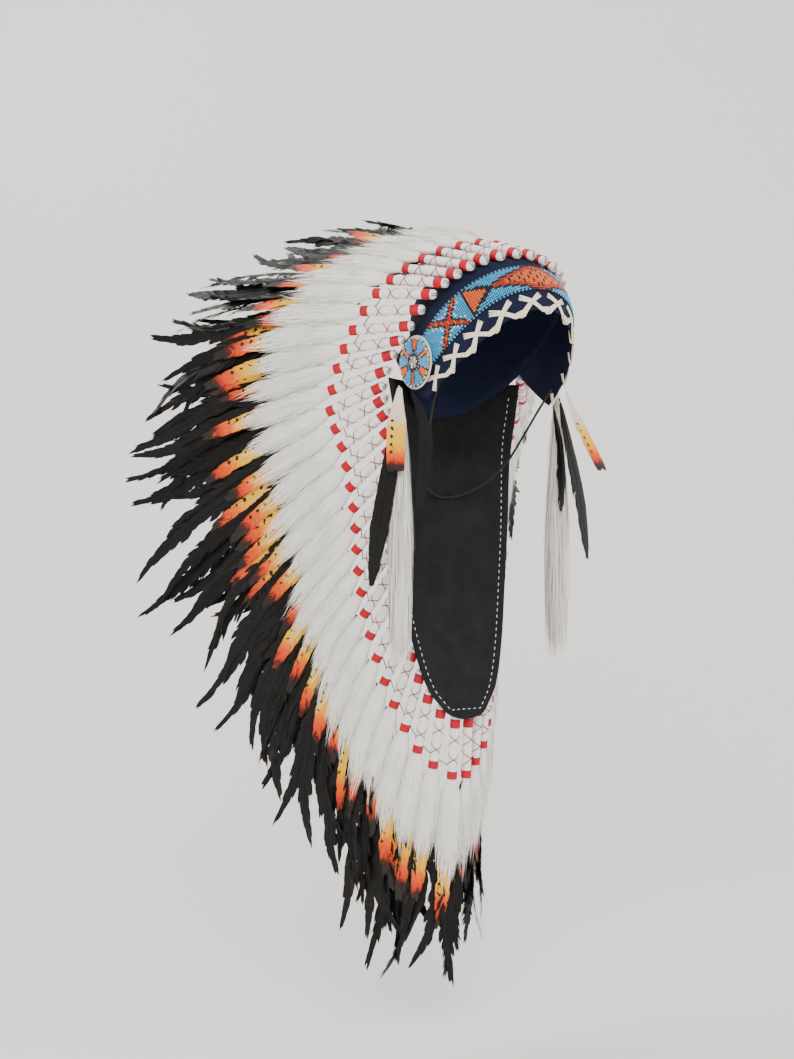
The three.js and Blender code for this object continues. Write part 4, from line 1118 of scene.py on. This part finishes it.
# Barbs on both sides of quills. A barb leaves the quill at its root share, runs out to the outline
# as half width * sin(90 deg * q), and leans to the tip as lean * q^1.4. Barbs hang together in tufts:
# each tuft has its own reach, and its barbs close up towards the tuft's middle as q^2.
def vanes(quills, spec, random, halfWidth):
    count = len(quills["length"])
    each = spec["barbs"]
    total = count * each * 2
    which = np.repeat(np.arange(count), each * 2)
    sign = np.tile(np.repeat([-1.0, 1.0], each), count)
    rows = np.tile(np.linspace(spec["from"], 0.99, each), count * 2)
    root = rows + random.uniform(-0.3, 0.3, total) / each
    tuftRow = rows * spec["tufts"] + np.repeat(random.random(count * 2), each)
    tuftPlace = np.floor(tuftRow).astype(int)
    vaneNumber = np.repeat(np.arange(count * 2), each)
    tuftReach = random.random((count * 2, spec["tufts"] + 3))[vaneNumber, tuftPlace]
    tuftMiddle = (0.5 - (tuftRow - tuftPlace)) / spec["tufts"]
    ragged = spec["ragged"] * (0.35 + 0.65 * np.clip(rows * 1.6, 0, 1))
    half = spec["outline"](rows) * np.asarray(halfWidth)[which]
    half = half * (1 - ragged * tuftReach ** 2)
    half = half * random.uniform(1 - spec["fray"], 1 + 0.4 * spec["fray"], total)
    lean = (spec["lean"] + half * 0.7) / quills["length"][which]
    run = np.linspace(0, 1, spec["points"])
    share = root[:, None] + lean[:, None] * run ** 1.4
    share = share + (tuftMiddle * spec["gather"])[:, None] * run ** 2
    share = np.minimum(share, spec["reachLimit"])
    across = sign[:, None] * half[:, None] * np.sin(run * np.pi / 2)
    curl = random.normal(0, spec["stray"], total) + (tuftReach - 0.5) * spec["stray"] * 2
    lift = -spec["arch"] * half[:, None] * run ** 2 + curl[:, None] * run ** 2
    spots = np.broadcast_to(which[:, None], share.shape)
    paths = nearQuill(quills, spots, share, across, lift)
    forward = unitLength(np.gradient(paths, axis=1))
    sides = unitLength(np.cross(frontAt(quills, spots, share), forward))
    pitch = quills["length"][which] * (1 - spec["from"]) / each
    taper = np.interp(run, [0, 0.5, 0.85, 1], [1.0, 0.9, 0.55, 0.2])
    halfWidths = (pitch * spec["cover"])[:, None] * taper
    widest = np.asarray(halfWidth)[which][:, None]
    patternMap = np.stack([0.5 + 0.5 * across / widest, np.clip(share, 0, 1)], -1)
    tone = np.clip(spec["tone"][which] + random.normal(0, 0.12, total), 0, 1)
    barbs = ribbons(paths, sides, halfWidths, patternMap, tone)
    steps = quills["places"].shape[1]
    shareRow = np.linspace(0, 1, steps)
    shaftHalf = np.interp(shareRow, [0, 0.7, 1], [1.0, 0.55, 0.12]) * spec["shaft"]
    shaft = tubes(quills["places"], quills["front"], shaftHalf, shaftHalf, 5)
    shaft["map"][:, 0] = 0.5
    shaft["tone"] = np.repeat(spec["tone"], steps * 5 + 2)
    return [barbs, shaft]


# Lines that bend aside and forwards towards the tip: aside and lift grow as share^power, and the last
# part hooks aside as the square of its own share.
def strayQuills(side, units, row, ends, asides, lifts, baseAside, baseLift, power=2.0, hooks=0.0):
    share = np.linspace(0, 1, row["steps"])
    reach = row["start"] + (ends - row["start"])[:, None] * share
    hook = np.asarray(hooks)[..., None] * np.clip((share - 0.72) / 0.28, 0, 1) ** 2
    across = baseAside[:, None] + asides[:, None] * share ** power + hook
    lift = baseLift[:, None] + lifts[:, None] * share ** power
    return featherLines(side, units, reach, across, lift)


# Each front direction turned about the feather's own length by an angle in degrees.
def twist(places, front, degrees):
    forward = unitLength(np.gradient(places, axis=1))
    turn = np.radians(degrees)[:, None, None]
    return front * np.cos(turn) + np.cross(forward, front) * np.sin(turn)


# A dyed feather is full from its root and rounds off to a point.
def dyedOutline(share):
    return np.sqrt(np.clip(share / 0.08, 0, 1)) * np.clip(1 - (share / 1.02) ** 5, 0.03, 1) ** 0.7


dyedRow = {
    "start": 98, "end": 236, "half": 9.0, "lift": -8.6, "steps": 14,
    "barbs": 56, "from": 0.02, "tufts": 9, "ragged": 0.28, "fray": 0.1, "lean": 9, "points": 4, "gather": 0.5,
    "stray": 0.5, "arch": 0.12, "cover": 0.85, "shaft": 0.75, "reachLimit": 1.06, "outline": dyedOutline,
    "extraShare": 0.35, "extraAside": 0.42, "extraLength": 16, "extraLift": -2.5, "turn": 20,
}


def addDyed(side, number, units, seed):
    random = np.random.default_rng(seed)
    extra = units[random.random(len(units)) < dyedRow["extraShare"]] + dyedRow["extraAside"]
    every = np.concatenate([units, extra])
    count = len(every)
    main = np.arange(count) < len(units)
    ends = dyedRow["end"] + random.uniform(-20, 12, count) + np.where(main, 0, dyedRow["extraLength"])
    places, front = strayQuills(
        side, every, dyedRow, ends, random.uniform(-6, 6, count), random.uniform(-1, 4, count),
        random.uniform(-2.5, 2.5, count),
        dyedRow["lift"] + np.where(main, 0.0, dyedRow["extraLift"]) + random.uniform(-0.8, 0.8, count))
    quills = makeQuills(places, twist(places, front, random.uniform(-dyedRow["turn"], dyedRow["turn"], count)))
    spec = dict(dyedRow, tone=random.random(count))
    parts = vanes(quills, spec, random, dyedRow["half"] * random.uniform(0.85, 1.12, count))
    addPiece(f"dyedFeathers_{side}_{number}", joinParts(parts), [dyedVane],
             [f"painted_{side}_{number}"])


# A black feather widens slowly, is fullest past its middle, and draws out to a thin tip.
def blackOutline(share):
    return np.interp(share, [0, 0.06, 0.3, 0.58, 0.78, 0.9, 1.0], [0.35, 0.75, 0.95, 1.0, 0.66, 0.34, 0.10])


blackRow = {
    "start": 92, "half": 14.5, "lift": -13.4, "steps": 26, "hook": 24,
    "barbs": 84, "from": 0.06, "tufts": 17, "ragged": 0.62, "fray": 0.22, "lean": 13, "points": 4,
    "gather": 0.75, "stray": 1.5, "arch": 0.16, "cover": 0.80, "shaft": 1.0, "reachLimit": 1.07,
    "outline": blackOutline, "lengthSwing": 16, "swing": 7, "liftSwing": 5, "turn": 38, "bendPower": 2.2,
    "unitRange": (0.62, 31.4),  # places kept between the first and last unit
}
# Layers of black feathers at each unit: share of the full length, width, sideways place and lift.
blackLayers = [
    {"length": 1.0, "wide": 1.0, "aside": 0.0, "lift": 0.0},
    {"length": 0.86, "wide": 0.92, "aside": 0.42, "lift": -3.0},
    {"length": 0.93, "wide": 0.80, "aside": -0.30, "lift": 2.2},
]
longFeather = {"side": "right", "unit": 15, "extra": 36}


# An even scatter from -1 to 1 that is the same for the same feather each time.
def scatter(side, unit, salt):
    wave = np.sin(unit * 12.9898 + salt * 78.233 + (37.719 if side == "left" else 0)) * 43758.5453
    return 2 * (wave - np.floor(wave)) - 1


def addBlack(side, number, units, seed):
    random = np.random.default_rng(seed)
    count = len(units)
    swing, liftSwing, turn = [blackRow[key] for key in ("swing", "liftSwing", "turn")]
    parts = []
    for layer in blackLayers:
        length = curve(flow, "unit", "length", units) + blackRow["lengthSwing"] * scatter(side, units, 1)
        if side == longFeather["side"]:
            length = length + longFeather["extra"] * (units == longFeather["unit"])
        ends = length * layer["length"] * random.uniform(0.97, 1.03, count)
        _, _, spacing = sheetFrame(units, 240)
        home = np.clip(units + layer["aside"], *blackRow["unitRange"])
        places, front = strayQuills(
            side, home, blackRow, ends, swing * scatter(side, units, 2) + random.uniform(-swing, swing, count),
            swing * scatter(side, units, 3) + random.uniform(-liftSwing, liftSwing, count),
            random.uniform(-1.5, 1.5, count),
            blackRow["lift"] + layer["lift"] + random.uniform(-0.8, 0.8, count),
            blackRow["bendPower"], random.uniform(-1, 1, count) * blackRow["hook"])
        quills = makeQuills(places, twist(places, front, random.uniform(-turn, turn, count)))
        spec = dict(blackRow, tone=random.uniform(0.1, 0.75, count))
        halfWidth = blackRow["half"] * layer["wide"] * random.uniform(0.82, 1.12, count)
        parts += vanes(quills, spec, random, np.minimum(halfWidth, spacing * 0.75))
    addPiece(f"blackFeathers_{side}_{number}", joinParts(parts), [blackVane],
             [f"blacks_{side}_{number}"])


for side, seedStart in (("right", 100), ("left", 200)):
    for number, (first, last) in enumerate(stretches, 1):
        units = np.arange(first, last + 1, dtype=float)
        addWraps(side, number, units)
        addDown(side, number, units, seedStart + number)
        addDyed(side, number, units, seedStart + 20 + number)
        addBlack(side, number, units, seedStart + 40 + number)
    print("feather rows made on the", side)

# ---- drops at the temples ----

drops = {
    "right": {
        "fur": (-105, 22), "facing": (-0.8, -0.6, 0),
        "drop_painted": [(-116, 8, -150), (-118, 8, -170), (-119, 8, -190), (-121, 8, -222), (-121, 8, -240)],
        "drop_long": [(-114, 12, -170), (-121, 20, -240), (-125, 34, -305), (-124, 50, -363)],
        "drop_short": [(-98, 6, -158), (-98, -16, -200), (-98, -14, -245), (-98, -4, -278)],
    },
    "left": {
        "fur": (105, 10), "facing": (0.3, -0.95, 0),
        "drop_painted": [(103, -9, -149), (106, -18, -168), (110, -26, -186), (116, -42, -216),
                         (120, -52, -236)],
        "drop_long": [(94, -8, -156), (103, -15, -210), (111, -26, -275), (112, -36, -334)],
        "drop_short": [(88, -4, -164), (92, -12, -210), (95, -12, -250), (97, -8, -282)],
    },
}


def leafOutline(share):
    return np.interp(share, [0, 0.08, 0.35, 0.6, 0.85, 1.0], [0.18, 0.5, 0.95, 1.0, 0.6, 0.08])


def paintedDropOutline(share):
    return np.interp(share, [0, 0.1, 0.35, 0.7, 0.93, 1.0], [0.12, 0.4, 1.0, 0.95, 0.8, 0.5])


dropSpec = {
    "drop_painted": {"half": 11.5, "material": dyedMaterial("dyedDrop", 92, 11.5), "slot": "dyed_feather",
                     "outline": paintedDropOutline, "ragged": 0.06, "fray": 0.05, "barbs": 60},
    "drop_long": {"half": 11.5, "material": blackVane, "slot": "black_feather", "outline": leafOutline,
                  "ragged": 0.12, "fray": 0.06, "barbs": 110},
    "drop_short": {"half": 9.5, "material": blackVane, "slot": "black_feather", "outline": leafOutline,
                   "ragged": 0.4, "fray": 0.15, "barbs": 80},
}
dropShared = {
    "from": 0.03, "tufts": 8, "lean": 11, "points": 4, "gather": 0.25, "stray": 0.3, "arch": 0.14,
    "cover": 0.95, "shaft": 0.8, "reachLimit": 1.03, "steps": 24,
}
furTail = {
    "up": [-150, -156, -176, -240, -320, -390, -456],
    "halfOut": [2.5, 4, 7, 10, 12, 11, 8], "halfBack": [4, 7, 9, 14, 19, 18, 14],
    "strands": 2600, "points": 5, "halfWidth": 0.42, "core": 0.6, "taper": [0.8, 1, 0.9, 0.6, 0.1],
    "coreTop": -152, "coreFoot": -418, "coreFade": 270, "top": -150, "topSpread": 205,
    "feet": [-425, -440, -452, -460],
}


# The tail's half size at heights, out to the side or back.
def furOval(up, key):
    return np.interp(-up, [-value for value in furTail["up"]], furTail[key])


def addDrops(side, seed):
    random = np.random.default_rng(seed)
    facing = unitLength(np.array(drops[side]["facing"], float))
    for name, own in dropSpec.items():
        line = smoothLine(drops[side][name], dropShared["steps"])[None]
        quills = makeQuills(line, np.broadcast_to(facing, line.shape))
        spec = {**dropShared, **own, "tone": np.array([0.45])}
        parts = vanes(quills, spec, random, np.array([own["half"]]))
        addPiece(f"{name.replace('_', '')}_{side}", joinParts(parts), [own["material"]],
                 [f"{name}_{side}"])

    # The tail is rings of hair round a soft core: a hair stays at its own share of the oval as it falls.
    out, back = drops[side]["fur"]
    coreUp = np.linspace(furTail["coreTop"], furTail["coreFoot"], 16)
    corePlaces = np.stack([0 * coreUp + out, 0 * coreUp + back, coreUp], -1)[None]
    fade = 1 - ((furTail["coreTop"] - coreUp) / furTail["coreFade"]) ** 4
    fade = np.sqrt(np.clip(fade, 0.02, 1)) * furTail["core"]
    core = tubes(corePlaces, np.array([1.0, 0, 0]), furOval(coreUp, "halfBack") * fade,
                 furOval(coreUp, "halfOut") * fade, 12, tone=np.array([0.5]))
    total = furTail["strands"]
    top = furTail["top"] - random.random(total) ** 1.2 * furTail["topSpread"]
    low = np.maximum(top - random.uniform(70, 190, total), random.choice(furTail["feet"], total))
    low = np.minimum(low, top - 30)
    radius = np.sqrt(random.uniform(0.15, 1.1, total))
    turn = random.uniform(0, 2 * np.pi, total)
    run = np.linspace(0, 1, furTail["points"])
    up = top[:, None] + (low - top)[:, None] * run
    full = radius[:, None] * (0.45 + 0.55 * (1 - (1 - run) ** 2))
    sway = random.normal(0, 1.1, (total, 2))
    paths = np.stack([
        out + full * furOval(up, "halfOut") * np.cos(turn)[:, None] + sway[:, :1] * run ** 2,
        back + full * furOval(up, "halfBack") * np.sin(turn)[:, None] + sway[:, 1:] * run ** 2,
        up,
    ], -1)
    outward = unitLength(np.stack([np.cos(turn), np.sin(turn) + 0.3 * sway[:, 0], 0 * turn], -1))[:, None]
    forward = unitLength(np.gradient(paths, axis=1))
    sides = unitLength(np.cross(np.broadcast_to(outward, paths.shape), forward))
    halfWidths = furTail["halfWidth"] * np.array(furTail["taper"]) * random.uniform(0.6, 1.2, (total, 1))
    patternMap = np.stack(np.broadcast_arrays(random.random((total, 1)), run), -1)
    hair = ribbons(paths, sides, halfWidths, patternMap, random.random(total))
    addPiece(f"furDrop_{side}", joinParts([core, hair]), [furWhite], [f"fur_drop_{side}"])


addDrops("right", 301)
addDrops("left", 302)
print("drops made")

# ---- stage and light ----

stageSetup = {
    "floor": -0.90, "reach": 3.2, "back": 2.2, "bend": 0.9, "height": 4.0, "halfWidth": 4.5,
    "colour": (0.90, 0.885, 0.86), "world": (1.0, 0.985, 0.96), "worldStrength": 0.95,
}
lamps = [
    {"name": "keyLamp", "place": (-1.6, -2.0, 1.3), "size": 1.6, "power": 80, "colour": (1.0, 0.98, 0.95)},
    {"name": "fillLamp", "place": (1.9, -1.5, 0.3), "size": 1.8, "power": 24, "colour": (0.97, 0.98, 1.0)},
    {"name": "backLamp", "place": (-0.8, 1.6, 1.6), "size": 1.4, "power": 34, "colour": (1.0, 0.98, 0.96)},
]

# The backdrop is a floor that bends up into a wall, square to the camera's view.
viewTurn = math.radians(cameraSetup["azimuth"])
look = np.array([math.sin(viewTurn), math.cos(viewTurn)])
beside = np.array([look[1], -look[0]])
bendTurn = np.linspace(0, math.pi / 2, 25)
bendStart, bendSize = stageSetup["back"] - stageSetup["bend"], stageSetup["bend"]
bendRows = np.stack([bendStart + bendSize * np.sin(bendTurn), bendSize * (1 - np.cos(bendTurn))], 1)
floorFront, wallTop = (-stageSetup["reach"], 0.0), (stageSetup["back"], stageSetup["height"])
profile = np.concatenate([[floorFront], bendRows, [wallTop]])
wide = np.linspace(-stageSetup["halfWidth"], stageSetup["halfWidth"], 3)[:, None]
floorXY = look * profile[None, :, :1] + beside * wide[..., None]
floorHigh = np.broadcast_to(profile[:, 1:] + stageSetup["floor"], floorXY[..., :1].shape)
floorPoints = np.concatenate([floorXY, floorHigh], -1)
stageMesh = bpy.data.meshes.new("backdrop")
stageMesh.from_pydata(floorPoints.reshape(-1, 3).tolist(), [], gridFaces(3, len(profile)).tolist())
stageMesh.polygons.foreach_set("use_smooth", np.ones(len(stageMesh.polygons), bool))
stageMesh.materials.append(newMaterial("backdropPaint", stageSetup["colour"], 0.9))
backdrop = bpy.data.objects.new("backdrop", stageMesh)
bpy.context.scene.collection.objects.link(backdrop)

world = bpy.data.worlds.new("softLight")
bpy.context.scene.world = world
world.use_nodes = True
sky = world.node_tree.nodes["Background"]
sky.inputs["Color"].default_value = (*stageSetup["world"], 1)
sky.inputs["Strength"].default_value = stageSetup["worldStrength"]
aim = np.array([0.0, 0.05, -0.33])
for lamp in lamps:
    light = bpy.data.lights.new(lamp["name"], "AREA")
    light.size = lamp["size"]
    light.energy = lamp["power"]
    light.color = lamp["colour"]
    holder = bpy.data.objects.new(lamp["name"], light)
    holder.location = lamp["place"]
    away = np.array(lamp["place"]) - aim
    level = math.hypot(away[0], away[1])
    holder.rotation_euler = (math.atan2(level, away[2]), 0, math.atan2(away[0], -away[1]))
    bpy.context.scene.collection.objects.link(holder)
print("stage and lights set")
